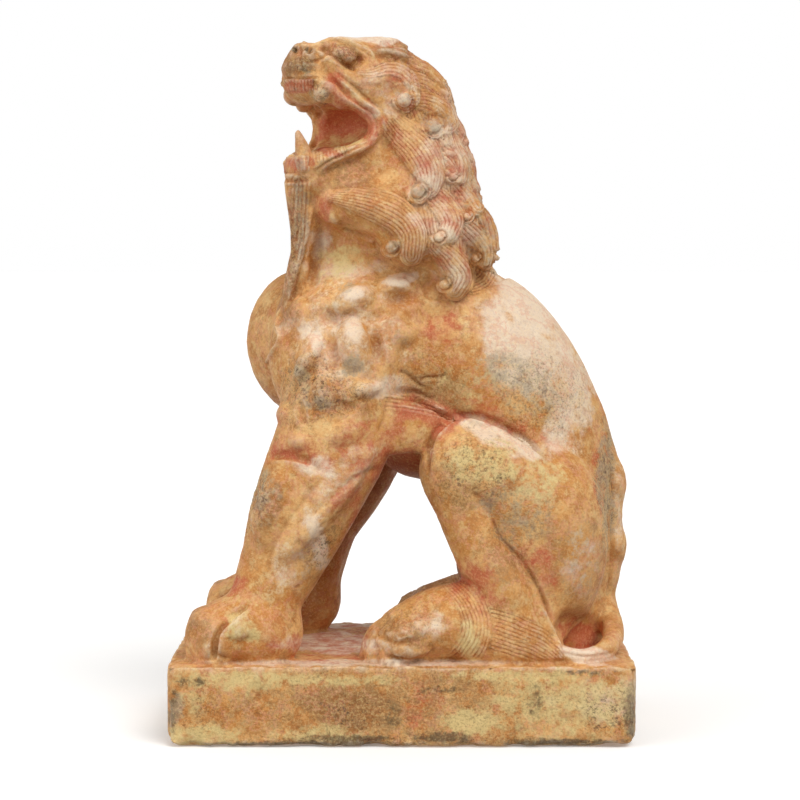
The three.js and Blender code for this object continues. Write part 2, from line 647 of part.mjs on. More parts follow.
// Thins a surface by collapsing the edges that matter least to its shape.
class Thinner {
  constructor({ points, faces }, weightAt) {
    this.points = points;
    this.faces = [];
    this.around = points.map(() => new Set());
    this.quadrics = points.map(() => new Float64Array(10));
    this.version = new Uint32Array(points.length);
    this.gone = new Uint8Array(points.length);
    for (let i = 0; i < faces.length; i += 3) {
      const face = [faces[i], faces[i + 1], faces[i + 2]];
      if (face[0] === face[1] || face[1] === face[2] || face[2] === face[0]) continue;
      const id = this.faces.push(face) - 1;
      face.forEach((v) => this.around[v].add(id));
      this.addPlane(face, weightAt);
    }
    this.live = this.faces.length;
    this.heap = [];
  }

  addPlane(face, weightAt) {
    const [a, b, c] = face.map((v) => this.points[v]);
    const n = b.clone().sub(a).cross(c.clone().sub(a));
    const area = n.length() / 2;
    if (area < 1e-12) return;
    n.normalize();
    const w = area * weightAt(a);
    const d = -n.dot(a);
    const terms = [n.x * n.x, n.x * n.y, n.x * n.z, n.x * d, n.y * n.y, n.y * n.z, n.y * d,
      n.z * n.z, n.z * d, d * d];
    face.forEach((v) => terms.forEach((t, i) => {
      this.quadrics[v][i] += t * w;
    }));
  }

  cost(q, p) {
    const { x, y, z } = p;
    return q[0] * x * x + 2 * q[1] * x * y + 2 * q[2] * x * z + 2 * q[3] * x + q[4] * y * y
      + 2 * q[5] * y * z + 2 * q[6] * y + q[7] * z * z + 2 * q[8] * z + q[9];
  }

  // The best place for the merged vertex: where the summed error is least, or the middle.
  bestPlace(a, b) {
    const q = this.quadrics[a].map((v, i) => v + this.quadrics[b][i]);
    const middle = this.points[a].clone().lerp(this.points[b], 0.5);
    const m = new THREE.Matrix3().set(q[0], q[1], q[2], q[1], q[4], q[5], q[2], q[5], q[7]);
    const size = (q[0] + q[4] + q[7]) / 3;
    const choices = [middle, this.points[a], this.points[b]];
    if (Math.abs(m.determinant()) > 1e-4 * size ** 3) {
      const exact = vec(-q[3], -q[6], -q[8]).applyMatrix3(m.clone().invert());
      const reach = this.points[a].distanceTo(this.points[b]) * 1.5;
      if (exact.distanceTo(middle) < reach) choices.unshift(exact);
    }
    let best = { cost: Infinity };
    for (const place of choices) {
      const cost = this.cost(q, place);
      if (cost < best.cost) best = { place, cost, q };
    }
    const spread = this.points[a].distanceToSquared(this.points[b]);
    best.cost = Math.max(best.cost, 0) + 1e-5 * spread;
    return best;
  }

  push(a, b) {
    const item = { a, b, va: this.version[a], vb: this.version[b], ...this.bestPlace(a, b) };
    const heap = this.heap;
    let i = heap.push(item) - 1;
    while (i > 0) {
      const up = (i - 1) >> 1;
      if (heap[up].cost <= item.cost) break;
      heap[i] = heap[up];
      i = up;
    }
    heap[i] = item;
  }

  pop() {
    const heap = this.heap;
    const top = heap[0];
    const last = heap.pop();
    if (heap.length) {
      let i = 0;
      for (;;) {
        let down = 2 * i + 1;
        if (down >= heap.length) break;
        if (down + 1 < heap.length && heap[down + 1].cost < heap[down].cost) down++;
        if (heap[down].cost >= last.cost) break;
        heap[i] = heap[down];
        i = down;
      }
      heap[i] = last;
    }
    return top;
  }

  neighbours(v) {
    const found = new Set();
    for (const id of this.around[v]) for (const u of this.faces[id]) if (u !== v) found.add(u);
    return found;
  }

  // A collapse is refused where it would pinch the surface or turn a triangle over.
  allowed(a, b, place) {
    const nb = this.neighbours(b);
    const shared = [...this.neighbours(a)].filter((v) => nb.has(v));
    if (shared.length !== 2) return false;
    for (const [v, other] of [[a, b], [b, a]]) {
      for (const id of this.around[v]) {
        const face = this.faces[id];
        if (face.includes(other)) continue;
        const before = face.map((u) => this.points[u]);
        const after = face.map((u) => (u === v ? place : this.points[u]));
        const n0 = before[1].clone().sub(before[0]).cross(before[2].clone().sub(before[0]));
        const n1 = after[1].clone().sub(after[0]).cross(after[2].clone().sub(after[0]));
        if (n1.length() < 1e-4 || n0.dot(n1) < 0.25 * n0.length() * n1.length()) return false;
      }
    }
    return true;
  }

  collapse({ a, b, place, q }) {
    this.points[a] = place.clone();
    this.quadrics[a] = q;
    this.gone[b] = 1;
    for (const id of [...this.around[b]]) {
      const face = this.faces[id];
      if (face.includes(a)) {
        face.forEach((v) => this.around[v].delete(id));
        this.faces[id] = null;
        this.live--;
      } else {
        face[face.indexOf(b)] = a;
        this.around[a].add(id);
      }
    }
    this.around[b].clear();
    this.version[a]++;
    for (const v of this.neighbours(a)) this.push(a, v);
  }

  thin(target) {
    this.faces.forEach((face) => {
      for (const [a, b] of [[0, 1], [1, 2], [2, 0]]) {
        if (face[a] < face[b]) this.push(face[a], face[b]);
      }
    });
    while (this.live > target && this.heap.length) {
      const item = this.pop();
      const { a, b } = item;
      if (this.gone[a] || this.gone[b] || this.version[a] !== item.va || this.version[b] !== item.vb) continue;
      if (this.allowed(a, b, item.place)) this.collapse(item);
    }
    return this.packed();
  }

  packed() {
    const index = new Map();
    const points = [];
    const faces = [];
    for (const face of this.faces) {
      if (!face) continue;
      for (const v of face) {
        if (!index.has(v)) {
          index.set(v, points.length);
          points.push(this.points[v]);
        }
        faces.push(index.get(v));
      }
    }
    return { points, faces };
  }
}

// Keep only the largest connected body.
function largestBody({ points, faces }) {
  const root = points.map((_, i) => i);
  const find = (v) => {
    let r = v;
    while (root[r] !== r) {
      root[r] = root[root[r]];
      r = root[r];
    }
    return r;
  };
  for (let i = 0; i < faces.length; i += 3) {
    root[find(faces[i + 1])] = find(faces[i]);
    root[find(faces[i + 2])] = find(faces[i]);
  }
  const count = new Map();
  for (let i = 0; i < faces.length; i += 3) {
    const r = find(faces[i]);
    count.set(r, (count.get(r) ?? 0) + 1);
  }
  const [keep] = [...count.entries()].sort((p, q) => q[1] - p[1])[0];
  const kept = [];
  for (let i = 0; i < faces.length; i += 3) {
    if (find(faces[i]) === keep) kept.push(faces[i], faces[i + 1], faces[i + 2]);
  }
  return { points, faces: kept };
}

function turnOutward({ points, faces }) {
  let volume = 0;
  for (let i = 0; i < faces.length; i += 3) {
    const [a, b, c] = [0, 1, 2].map((k) => points[faces[i + k]]);
    volume += a.dot(b.clone().cross(c));
  }
  if (volume < 0) {
    for (let i = 0; i < faces.length; i += 3) [faces[i + 1], faces[i + 2]] = [faces[i + 2], faces[i + 1]];
  }
}

const wasm = await Module();
wasm.setup();

function solidOf({ points, faces }) {
  return new wasm.Manifold(new wasm.Mesh({
    numProp: 3,
    vertProperties: new Float32Array(points.flatMap((p) => [p.x, p.y, p.z])),
    triVerts: new Uint32Array(faces),
  }));
}

function boxSolid(width, depth, height, x, y, z) {
  const g = new THREE.BoxGeometry(width, depth, height).translate(x, y, z);
  const corners = [];
  const names = new Map();
  const faces = [];
  const position = g.getAttribute('position');
  for (const i of g.index.array) {
    const p = vec(position.getX(i), position.getY(i), position.getZ(i));
    const name = p.toArray().join();
    if (!names.has(name)) names.set(name, corners.push(p) - 1);
    faces.push(names.get(name));
  }
  return solidOf({ points: corners, faces });
}

function geometryOf(solid) {
  const { numProp, vertProperties, triVerts } = solid.getMesh();
  const position = new Float32Array((vertProperties.length / numProp) * 3);
  for (let i = 0; i < position.length / 3; i++) {
    position.set(vertProperties.subarray(i * numProp, i * numProp + 3), i * 3);
  }
  const geometry = new THREE.BufferGeometry();
  geometry.setAttribute('position', new THREE.BufferAttribute(position, 3));
  geometry.setIndex([...triVerts]);
  geometry.computeVertexNormals();
  return geometry;
}

const clay = carveLion();
const rough = surfaceOf(clay);
turnOutward(rough);
settle(rough, clay);
const headWeight = (p) => (p.z > NECK ? 5 : 1);
const thinned = new Thinner(largestBody(rough), headWeight).thin(SURFACE_TRIANGLES);
const sawn = solidOf(thinned).intersect(boxSolid(400, 300, 500, 0, 0, 250 - DATUM));

const lion = new THREE.Mesh(geometryOf(sawn).translate(0, 0, DATUM), new THREE.MeshStandardMaterial({
  color: COLOUR.marble, roughness: 0.62, metalness: 0,
}));
lion.name = 'marble_lion';

const figure = new THREE.Group();
figure.add(lion);

export default figure;
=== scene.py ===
import math

import bmesh
import bpy
import numpy as np
from mathutils import Matrix, Vector


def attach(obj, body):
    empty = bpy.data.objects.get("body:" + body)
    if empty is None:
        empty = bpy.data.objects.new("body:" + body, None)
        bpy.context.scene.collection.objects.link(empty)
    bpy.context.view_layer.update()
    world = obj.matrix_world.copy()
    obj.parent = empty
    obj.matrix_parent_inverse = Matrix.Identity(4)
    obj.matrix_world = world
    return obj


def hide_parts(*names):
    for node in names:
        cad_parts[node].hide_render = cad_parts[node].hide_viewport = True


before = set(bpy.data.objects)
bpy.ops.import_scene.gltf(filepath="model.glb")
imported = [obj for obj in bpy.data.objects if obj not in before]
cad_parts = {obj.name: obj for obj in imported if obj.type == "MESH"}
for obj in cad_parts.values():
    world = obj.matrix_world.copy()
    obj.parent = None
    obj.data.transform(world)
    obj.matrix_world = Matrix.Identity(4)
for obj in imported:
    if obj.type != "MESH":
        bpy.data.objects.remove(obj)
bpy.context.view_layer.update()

NODE = "marble_lion"
MM = 0.001
GRAIN = 0.75  # mm, size of the working mesh's faces
MOST_TRIANGLES = 197000

# The picture is square, and every place in it is given in this many steps of its width.
PICTURE = 800
# The camera: where it stands in mm, its focal length in steps of the picture, how far it looks
# down and to the left, and the width of its film in mm.
EYE = np.array([4.7, -1264.7, 270.5])
FOCAL = 2152.0
PITCH = math.atan(137 / FOCAL)
YAW = math.atan(10 / FOCAL)
FILM = 36
NEAR_SCALE = 0.565  # mm on the near flank for one step of the picture

# The head, turned towards the near side: its middle, and its way ahead and to the near side.
HEAD_AT = np.array([-12.0, -4.0, 364.5])
HEAD_AHEAD = np.array([-0.8046, -0.5846, 0.1045])
HEAD_SIDE = np.array([0.5878, -0.809, 0.0])

# What the chisel did, in places (across, down) of the picture, in its steps.
# Locks of hair: the line down the middle, half-widths at root, middle and tip, how high it
# stands in mm, and the middle and radius of the curl that ends it.
MANE = [
    ([(415, 55), (445, 110), (462, 180), (470, 262)], (44, 52, 34), 0.4, None),
    ([(416, 60), (432, 66), (444, 80)], (8, 10, 8), 2.8, (446, 93, 7.5)),
    ([(414, 76), (430, 82), (444, 96), (449, 110)], (7, 9, 7), 2.2, None),
    ([(447, 99), (459, 112), (466, 130)], (8, 10, 8), 3.0, (468, 141, 7)),
    ([(416, 90), (434, 94), (447, 106), (451, 122)], (7, 8, 7), 2.2, None),
    ([(412, 100), (428, 101), (443, 110), (448, 124)], (7, 12, 12), 3.6, (433, 126, 15)),
    ([(389, 118), (402, 132), (420, 150), (430, 172), (429, 188)], (11, 21, 12),
      4.0, (417.5, 191.5, 13)),
    ([(443, 134), (455, 146), (463, 162), (461, 178)], (8, 11, 8), 3.2, (453, 176, 8)),
    ([(462, 146), (473, 160), (479, 176), (480, 188)], (7, 10, 8), 3.0, (482, 197, 7.5)),
    ([(434, 156), (446, 160), (455, 172)], (6, 9, 7), 2.8, (447, 172, 7)),
    ([(458, 180), (470, 192), (478, 208)], (7, 11, 8), 3.2, (467, 216, 8.5)),
    ([(481, 200), (489, 216), (494, 236), (495, 248)], (7, 10, 8), 3.2, (496, 257, 7.5)),
    ([(428, 190), (443, 203), (453, 220), (449, 234)], (9, 14, 11), 3.6, (438.5, 237, 9.5)),
    ([(462, 222), (476, 236), (486, 250), (485, 262)], (8, 12, 9), 3.4, (475.5, 258, 8.5)),
    ([(436, 246), (450, 260), (461, 276), (455, 290)], (10, 17, 12), 4.0, (444.5, 284, 10)),
    ([(332, 196), (362, 201), (392, 212), (411, 232), (411, 254)], (7, 19, 13),
      4.2, (391, 247, 12)),
]
BROW = [
    ([(359, 73.5), (372, 73), (388, 69), (402, 72), (412, 84), (413, 100)], (3, 8, 7),
      2.0, (403.8, 100, 13)),
]
BEARD = [
    ([(299, 184), (298, 210), (296.5, 240), (291.5, 268), (285, 300), (282, 324)], (14, 10.5, 3),
      0.9, None),
]
FRINGES = [
    ([(387, 402), (412, 405), (434, 411), (452, 418)], (9, 8, 3), 0.8, None),
    ([(450, 582), (468, 600), (477, 624), (472, 646), (456, 661), (434, 670)], (10, 17, 9),
      0.9, None),
    ([(488, 628), (514, 636), (540, 647), (562, 662)], (24, 22, 6), 0.7, None),
]
STRAND = 2.1  # mm between two chisel lines in the hair
TEETH = [
    ([(283, 79.5), (298, 80), (314, 80)], 11, 3.1, 0.9),
    ([(286, 157), (297, 157), (309, 157)], 15, 7.0, 1.0),
    ([(312, 154), (328, 152), (345, 146)], 9, 3.6, 0.8),
]

# Lines: points, half-width, and depth in mm (a negative depth is a raised ridge).
FACE_LINES = [
    ([(318, 41), (329, 38.6), (346.5, 43), (358, 47), (368, 53), (373.5, 61.5)], 1.6, 1.1),
    ([(322, 36.5), (345, 39.5), (366, 48), (376, 60)], 1.9, -0.8),
    ([(318, 47), (335, 57), (346.5, 65.7), (358, 71.5)], 1.7, 1.3),
    ([(316, 50.5), (334, 61.5), (346, 70), (357, 75.5)], 1.9, -0.9),
    ([(329, 66), (343.6, 78), (355, 87), (368, 99), (381, 109)], 1.9, 1.1),
    ([(330, 73), (343.6, 83), (355, 94), (366.4, 104), (377, 111), (384, 123), (384, 136),
      (378, 146)], 2.4, -1.1),
    ([(319, 78), (335, 81.5), (346.4, 94.3), (360.7, 105.7), (372, 114), (377.5, 127), (374, 139)],
      1.6, 1.3),
    ([(389, 108), (393, 122), (392, 138), (384, 151)], 2.6, 1.0),
    ([(309.3, 174.3), (326.4, 163), (346.4, 153), (360, 146), (373.6, 140.4)], 1.5, 1.3),
    ([(312, 179), (330, 167.5), (348, 158), (366, 149.5)], 2.4, -0.6),
    ([(312, 150.5), (328, 149), (343.6, 145)], 1.3, 0.9),
    ([(331, 49), (326.5, 55), (316, 60.5), (308, 61), (304.5, 58)], 1.4, 1.3),
    ([(334, 50), (330, 57), (320, 63)], 1.8, -0.6),
    ([(374, 44), (385, 40.5), (398, 40.5), (408, 45), (414, 54)], 1.9, -1.1),
    ([(375, 51), (388, 51), (401, 54.5), (416, 61)], 2.2, -1.1),
    ([(374, 57), (388, 57), (404, 61), (416, 68)], 1.6, 0.9),
    ([(360, 84), (374, 86), (390, 82)], 2.5, 0.7),
    ([(294, 194), (291, 230), (287, 268)], 1.0, 0.5),
    ([(300, 194), (298, 232), (292, 262)], 1.0, 0.5),
]
NOSE_LINES = [
    ([(298, 41), (300, 46), (301, 53), (300.5, 61), (302.5, 70)], 1.3, 1.0),
    ([(283, 77.6), (292, 78), (302, 78.4), (312, 77.6), (320, 77)], 1.2, 1.2),
    ([(285.7, 93.5), (292, 98), (300, 103.5), (312, 107)], 1.7, -0.7),
    ([(283.5, 176), (297, 176), (312, 175)], 2.0, -1.0),
    ([(283.5, 181), (297, 181.5), (311, 180.5)], 1.5, 1.1),
    ([(285, 186.5), (297, 187), (308, 186)], 1.4, 0.6),
]
BODY_LINES = [
    ([(280, 303), (277, 325), (280, 338), (274, 350), (263, 369), (261, 382)], 1.6, -1.6),
    ([(398, 371), (407, 374), (416, 382), (425, 389)], 1.9, 1.5),
    ([(418, 381), (427, 377.5), (437, 377.5), (448, 375.5)], 1.7, 1.1),
    ([(388, 394), (386, 406), (383, 420), (378, 434)], 1.6, 0.9),
    ([(266, 458), (284, 454.5), (299, 458), (312, 464), (322, 474)], 4.2, 1.5),
    ([(324, 478), (310, 494), (295.7, 511), (287, 524), (277, 540), (271, 554), (264, 570)],
      2.8, 1.0),
    ([(384, 468.6), (367, 473), (355.7, 478.6), (343, 487), (335.7, 494), (318.6, 508.6),
      (306, 522)], 3.4, 1.3),
    ([(428, 482), (427, 462), (431, 442), (442, 426), (456, 417.5), (470, 415.5), (487, 420),
      (503, 427), (525, 439), (545, 454), (560, 465)], 2.6, 2.8),
    ([(490, 512), (498, 532), (508, 546), (520, 559), (530, 574), (540, 592), (549, 612),
      (556, 632)], 2.2, 2.0),
    ([(542, 606), (548, 620), (555, 634), (559.5, 648), (560.5, 664)], 2.2, -1.3),
    ([(453, 574), (463, 580), (476, 588), (488, 602)], 3.2, 1.6),
    ([(389, 612), (384, 622), (377, 632), (373, 641), (377, 650)], 2.0, 1.4),
    ([(383, 655), (396, 659), (412, 661), (428, 656), (436, 646)], 1.8, 1.7),
    ([(376, 633), (390, 640), (404, 643), (418, 641)], 2.4, 1.1),
    ([(608, 436), (612, 470), (613.5, 500), (612.5, 540), (611, 575), (606, 606)], 1.9, 1.5),
    ([(562, 653), (590, 657), (616, 652)], 1.4, 0.8),
    ([(254, 601), (240, 610), (228, 622), (217, 634), (214, 650), (214, 668)], 2.8, 3.0),
    ([(278, 612), (288, 625), (294, 640), (297, 654)], 1.5, 1.0),
    ([(286, 609), (297, 624), (302, 642)], 1.3, 0.7),
    ([(216, 654), (228, 659), (248, 661)], 1.6, 1.0),
    ([(185, 644), (190, 655), (200, 660), (212, 661)], 1.6, 1.2),
    ([(206, 596), (218, 592), (230, 588), (240, 574)], 2.4, 0.9),
    ([(338, 229), (356, 232), (376, 241), (388, 256)], 3.0, 0.8),
]
# Steps in the surface: points, half-width, and rise in mm of the side on the left hand.
FOLDS = [
    ([(388, 395), (413, 394), (430, 400.5), (446.7, 409), (456, 413)], 2.2, -0.9),
    ([(312, 465), (294, 460), (270, 458)], 3.0, 1.1),
    ([(430, 474), (429, 455), (434, 437), (445, 424), (458, 417.5), (472, 416), (488, 420.5),
      (504, 427), (525, 439), (545, 454)], 3.0, -1.7),
    ([(246, 606), (232, 617), (220, 630), (216, 648), (215, 664)], 2.6, 1.0),
    ([(314, 204), (309, 235), (301, 262), (293, 290), (287, 316)], 2.6, -1.7),
]
# Mounds and hollows: place, half-sizes, slant in degrees, and rise in mm.
BREAST = [
    ((315, 258), (9, 38), -6, -2.8), ((297, 312), (15, 19), 0, 3.5),
    ((307, 362), (27, 9.5), 62, 5.4), ((355, 346), (19, 32), 14, 6.2),
    ((354, 299), (26, 15), 24, 4.2), ((403, 281), (27, 11), 8, 3.2),
    ((401, 298), (20, 10), 0, -4.5), ((403, 335), (18, 13), 30, 4.1),
    ((324, 390), (17, 22), 0, 4.4), ((281, 412), (12, 12), 0, 3.5), ((299, 441), (13, 11), 0, 3.2),
    ((366, 389), (19, 10), 10, 3.8), ((330, 318), (12, 13), 0, -3.2),
    ((333, 352), (8, 24), 8, -3.2), ((378, 350), (8, 22), 10, -3.1), ((346, 408), (16, 9), 0, -2.6),
    ((347, 433), (24, 15), 10, 3.1), ((301, 412), (6, 16), 10, -2.6),
    ((412, 398), (26, 10), -18, -2.0), ((377, 316), (16, 8), 12, -2.5),
    ((433, 318), (20, 16), 0, -2.5), ((318, 270), (24, 14), 20, 1.9),
]
LIMBS = [
    ((199, 616), (13, 14), 0, 2.4), ((240, 627), (17, 16), 0, 2.9), ((268, 628), (15, 20), 0, 1.8),
    ((209, 650), (8, 11), 0, 1.4), ((238, 651), (18, 12), 0, 1.0), ((408, 630), (26, 13), 12, 2.6),
    ((411, 652), (24, 8), 0, 2.2), ((378, 640), (9, 12), 0, 1.4), ((268, 505), (17, 34), -20, 1.9),
    ((312, 528), (13, 40), -36, 1.4), ((478, 464), (50, 46), 0, 2.4),
    ((560, 560), (34, 48), 0, 1.1), ((500, 575), (18, 42), 38, 1.9),
    ((520, 618), (28, 18), 0, -1.2), ((584, 628), (21, 16), 0, -3.0),
    ((360, 452), (22, 12), 20, 1.4), ((620, 478), (8, 26), 0, 1.6), ((621, 545), (8, 22), 0, 1.5),
]
FACE = [
    ((342, 53), (21, 9), -28, 1.0), ((321, 92), (13, 12), 0, 1.9), ((300, 66), (15, 7), 0, 0.9),
    ((396.4, 61.4), (2.6, 2.6), 0, -2.0), ((388, 45.5), (14, 4.4), 4, -2.4),
    ((404, 50), (9, 4.5), -28, -1.6), ((343, 131), (26, 12), 18, -1.0),
    ((360, 130), (9, 8), 0, -2.2), ((330, 122), (10, 7), 30, 0.7),
]
NOSTRILS = [((308.5, 49.5), (5, 4.4), 0, -5.0), ((295, 49.5), (3.8, 4), 0, -4.0)]
# Sharp corners that are rounded over: place, half-sizes and slant.
SOCKET = ((328, 49), (12, 8.5), -28)
ELBOW_TO_KNEE = ((451, 420), (13, 8), 0)
# Rough, broken places: place, half-sizes, slant, and how rough.
ROUGH = [
    ((342, 53), (22, 11), -28, 1.3), ((321, 92), (13, 12), 0, 1.2), ((240, 630), (20, 24), 0, 1.5),
    ((262, 505), (26, 44), -20, 1.0), ((312, 300), (40, 30), 0, 0.3),
    ((320, 385), (66, 46), 0, 0.8), ((470, 465), (60, 46), 0, 0.7), ((300, 60), (22, 18), 0, 0.7),
    ((450, 380), (70, 40), 0, 0.3), ((318, 530), (14, 38), -36, 1.0),
    ((400, 632), (48, 34), 0, 1.3), ((345, 720), (60, 26), 0, 0.5),
]
# The mane's edge in the picture, and how far down in mm it and the hair of the nape reach.
MANE_EDGE = [
    (412, 50), (416, 70), (421, 86), (420, 104), (404, 116), (386, 120), (380, 140), (384, 168),
    (360, 182), (332, 188), (326, 208), (345, 232), (372, 242), (378, 262), (416, 276), (426, 298),
    (456, 306), (492, 286), (560, 250), (560, 20), (412, 20),
]
MANE_FOOT = 248
NAPE_FOOT = 277
# How far down the face reaches, and how far behind the head's middle, in mm.
FACE_FOOT = 240
FACE_BACK = -16
# Rows of locks down the nape: how high in mm, and how many; their spacing and length in mm.
NAPE_ROWS = [(388, 3), (370, 4), (352, 5), (334, 4), (316, 5), (298, 4)]
NAPE_STEP = 15
NAPE_LENGTH = 19
# The rolled end of a lock, in parts of its radius: where its spiral starts, how far out that
# goes in one turn, and the width of the groove that it follows.
CURL_START = 0.36
CURL_OPENS = 0.28
CURL_GROOVE = 0.13
EVEN_WEAR = 0.24  # mm, how uneven the best kept skin is
# Heights in mm over which one part of the block passes into the next.
PLINTH_TOP = (46, 50)
ABOVE_PLINTH = (47.6, 50)
HEAD_STARTS = (246, 262)
# Half the plinth's length and depth in mm, and a level just over its top.
PLINTH_HALF = (132, 75.5)
PLINTH_RIM = 48
# How far a point may turn away from the camera, as a cosine, where marks fade out.
FACING = (-0.15, 0.25)
HAIR_FACING = (-0.45, -0.1)
TEETH_FACING = (-0.1, 0.2)
STAIN_FACING = (-0.35, -0.08)
OVERLAP = 5.0  # mm past the middle that a view of one flank still takes in
ALL = 90.0  # mm past the middle, for a view that takes in the whole stone


# Drawing on the stone as it is seen.

def seen_at(points):
    """Where the camera sees each point: across and down in the picture."""
    ahead = np.array([-math.sin(YAW) * math.cos(PITCH), math.cos(YAW) * math.cos(PITCH),
                      -math.sin(PITCH)])
    right = np.array([math.cos(YAW), math.sin(YAW), 0.0])
    up = np.cross(right, ahead)
    away = points - EYE
    depth = away @ ahead
    across, rise = FOCAL * (away @ right) / depth, FOCAL * (away @ up) / depth
    return np.stack([PICTURE / 2 + across, PICTURE / 2 - rise], axis=1)


def ramp(value, low, high):
    """0 below low, 1 above high, and smooth between them."""
    t = np.clip((value - low) / (high - low), 0, 1)
    return t * t * (3 - 2 * t)


def curve(line, count=28):
    """A smooth path through the points, evenly sampled in each span."""
    p = np.array(line, float)
    p = np.vstack([2 * p[0] - p[1], p, 2 * p[-1] - p[-2]])
    spans = len(p) - 3
    path = []
    for k in np.linspace(0, spans, count):
        i = min(int(k), spans - 1)
        t = k - i
        a, b, c, d = p[i:i + 4]
        path.append(0.5 * (2 * b + (c - a) * t + (2 * a - 5 * b + 4 * c - d) * t * t
                           + (3 * b - a - 3 * c + d) * t ** 3))
    return np.array(path)


def from_line(places, path):
    """Distance of each place from a path, how far along it is (0 to 1), and on which side."""
    best = np.full(len(places), 1e9)
    along = np.zeros(len(places))
    offset = np.zeros(len(places))
    lengths = np.linalg.norm(np.diff(path, axis=0), axis=1)
    starts = np.concatenate([[0], np.cumsum(lengths)])
    for i, (a, b) in enumerate(zip(path[:-1], path[1:])):
        way = b - a
        rel = places - a
        t = np.clip(rel @ way / max(way @ way, 1e-9), 0, 1)
        distance = np.linalg.norm(rel - t[:, None] * way, axis=1)
        closer = distance < best
        side = np.sign(way[0] * rel[:, 1] - way[1] * rel[:, 0])
        best = np.where(closer, distance, best)
        offset = np.where(closer, side * distance, offset)
        along = np.where(closer, (starts[i] + t * lengths[i]) / starts[-1], along)
    return best, along, offset


CLOUD_TABLE = 4096
CLOUD_PRIMES = np.array([73856093, 19349663, 83492791])  # they scatter the cells in the table


def cloud(points, size, seed):
    """Smooth random values from 0 to 1 that change over this size in mm."""
    table = np.random.default_rng(seed).random(CLOUD_TABLE)
    p = points / size + 1000
    cell = np.floor(p).astype(np.int64)
    t = p - cell
    t = t * t * (3 - 2 * t)
    total = np.zeros(len(points))
    for corner in range(8):
        step = np.array([corner & 1, corner >> 1 & 1, corner >> 2 & 1])
        key = (cell + step) @ CLOUD_PRIMES
        share = np.prod(np.where(step, t, 1 - t), axis=1)
        total += share * table[(key ^ key >> 13) % CLOUD_TABLE]
    return total


def mottle(points, size, seed, layers=3):
    """Several clouds, each half the size of the one before, from -1 to 1."""
    clouds = (cloud(points, size / 2 ** k, seed + k) * 2 - 1 for k in range(layers))
    return sum(one / 2 ** k for k, one in enumerate(clouds)) / 1.5


class Stone:
    """The fine mesh with its points in millimetres, their outward directions and edges."""

    def __init__(self, mesh):
        self.mesh = mesh
        self.count = len(mesh.vertices)
        self.points = np.empty(self.count * 3)
        mesh.vertices.foreach_get("co", self.points)
        self.points = self.points.reshape(-1, 3) / MM
        edges = np.empty(len(mesh.edges) * 2, np.int32)
        mesh.edges.foreach_get("vertices", edges)
        self.edges = edges.reshape(-1, 2)
        self.face_out()

    def face_out(self):
        """Write the points back to the mesh and read which way each one faces."""
        self.mesh.vertices.foreach_set("co", (self.points * MM).ravel())
        self.mesh.update()
        self.out = np.empty(self.count * 3)
        self.mesh.vertex_normals.foreach_get("vector", self.out)
        self.out = self.out.reshape(-1, 3)

    def spread(self, values, width, where=None):
        """Blur values over the surface by about this width in mm, where the weight says so."""
        where = np.ones(self.count) if where is None else where
        used = where > 0.001
        a, b = self.edges[used[self.edges].any(axis=1)].T
        degree = np.maximum(np.bincount(a, minlength=self.count)
                            + np.bincount(b, minlength=self.count), 1)
        values = values.reshape(self.count, -1).copy()
        for _ in range(max(int(4 * (width / GRAIN) ** 2), 1)):
            for k in range(values.shape[1]):
                v = values[:, k]
                total = np.bincount(a, v[b], self.count) + np.bincount(b, v[a], self.count)
                values[used, k] += (0.5 * where * (total / degree - v))[used]
        return values.squeeze()

    def soften(self, weight, width):
        """Smooth the stone by about this width in mm, as much as the weight says."""
        self.points = self.spread(self.points, width, weight)
        self.face_out()

    def push(self, height):
        """Move each point out of the stone by its own height in mm."""
        self.points += self.out * height[:, None]
        self.face_out()


class View:
    """The stone as one side shows it in the picture."""

    def __init__(self, points, out, y_most):
        toward = EYE - points
        toward /= np.linalg.norm(toward, axis=1)[:, None]
        self.facing = np.einsum("ij,ij->i", out, toward)
        self.at = seen_at(points)
        self.behind = points[:, 1] > y_most
        self.least = FACING

    def pick(self, line, margin, facing=None):
        """Points near a line of the picture, with a weight that fades where they turn away."""
        facing = facing or self.least
        (x0, y0), (x1, y1) = np.min(line, axis=0) - margin, np.max(line, axis=0) + margin
        u, v = self.at.T
        chosen = np.flatnonzero((u > x0) & (u < x1) & (v > y0) & (v < y1) & ~self.behind
                                & (self.facing > facing[0]))
        return chosen, ramp(self.facing[chosen], *facing)


def flank_view(stone, side, y_most=OVERLAP):
    """The near flank (side -1), or the far one (side 1) as a mirror image of it."""
    turn = np.array([1, -side, 1])
    return View(stone.points * turn, stone.out * turn, y_most)


def face_view(stone):
    """The near half of the face, with the far half mirrored over the head's middle onto it."""
    beyond = np.minimum((stone.points - HEAD_AT) @ HEAD_SIDE, 0)[:, None]
    points = stone.points - 2 * beyond * HEAD_SIDE
    out = stone.out - 2 * (beyond < 0) * (stone.out @ HEAD_SIDE)[:, None] * HEAD_SIDE
    view = View(points, out, ALL)
    ahead = (stone.points - HEAD_AT) @ HEAD_AHEAD
    view.behind = (stone.points[:, 2] < FACE_FOOT) | (ahead < FACE_BACK)
    return view


def cut(view, height, line, width, depth):
    """A groove along a line; a negative depth raises a ridge."""
    path = curve(line)
    chosen, weight = view.pick(path, width * 3)
    distance, along, _ = from_line(view.at[chosen], path)
    ends = ramp(along, -0.02, 0.15) * ramp(1 - along, -0.02, 0.15)
    height[chosen] -= depth * weight * ends * np.exp(-(distance / width) ** 2)


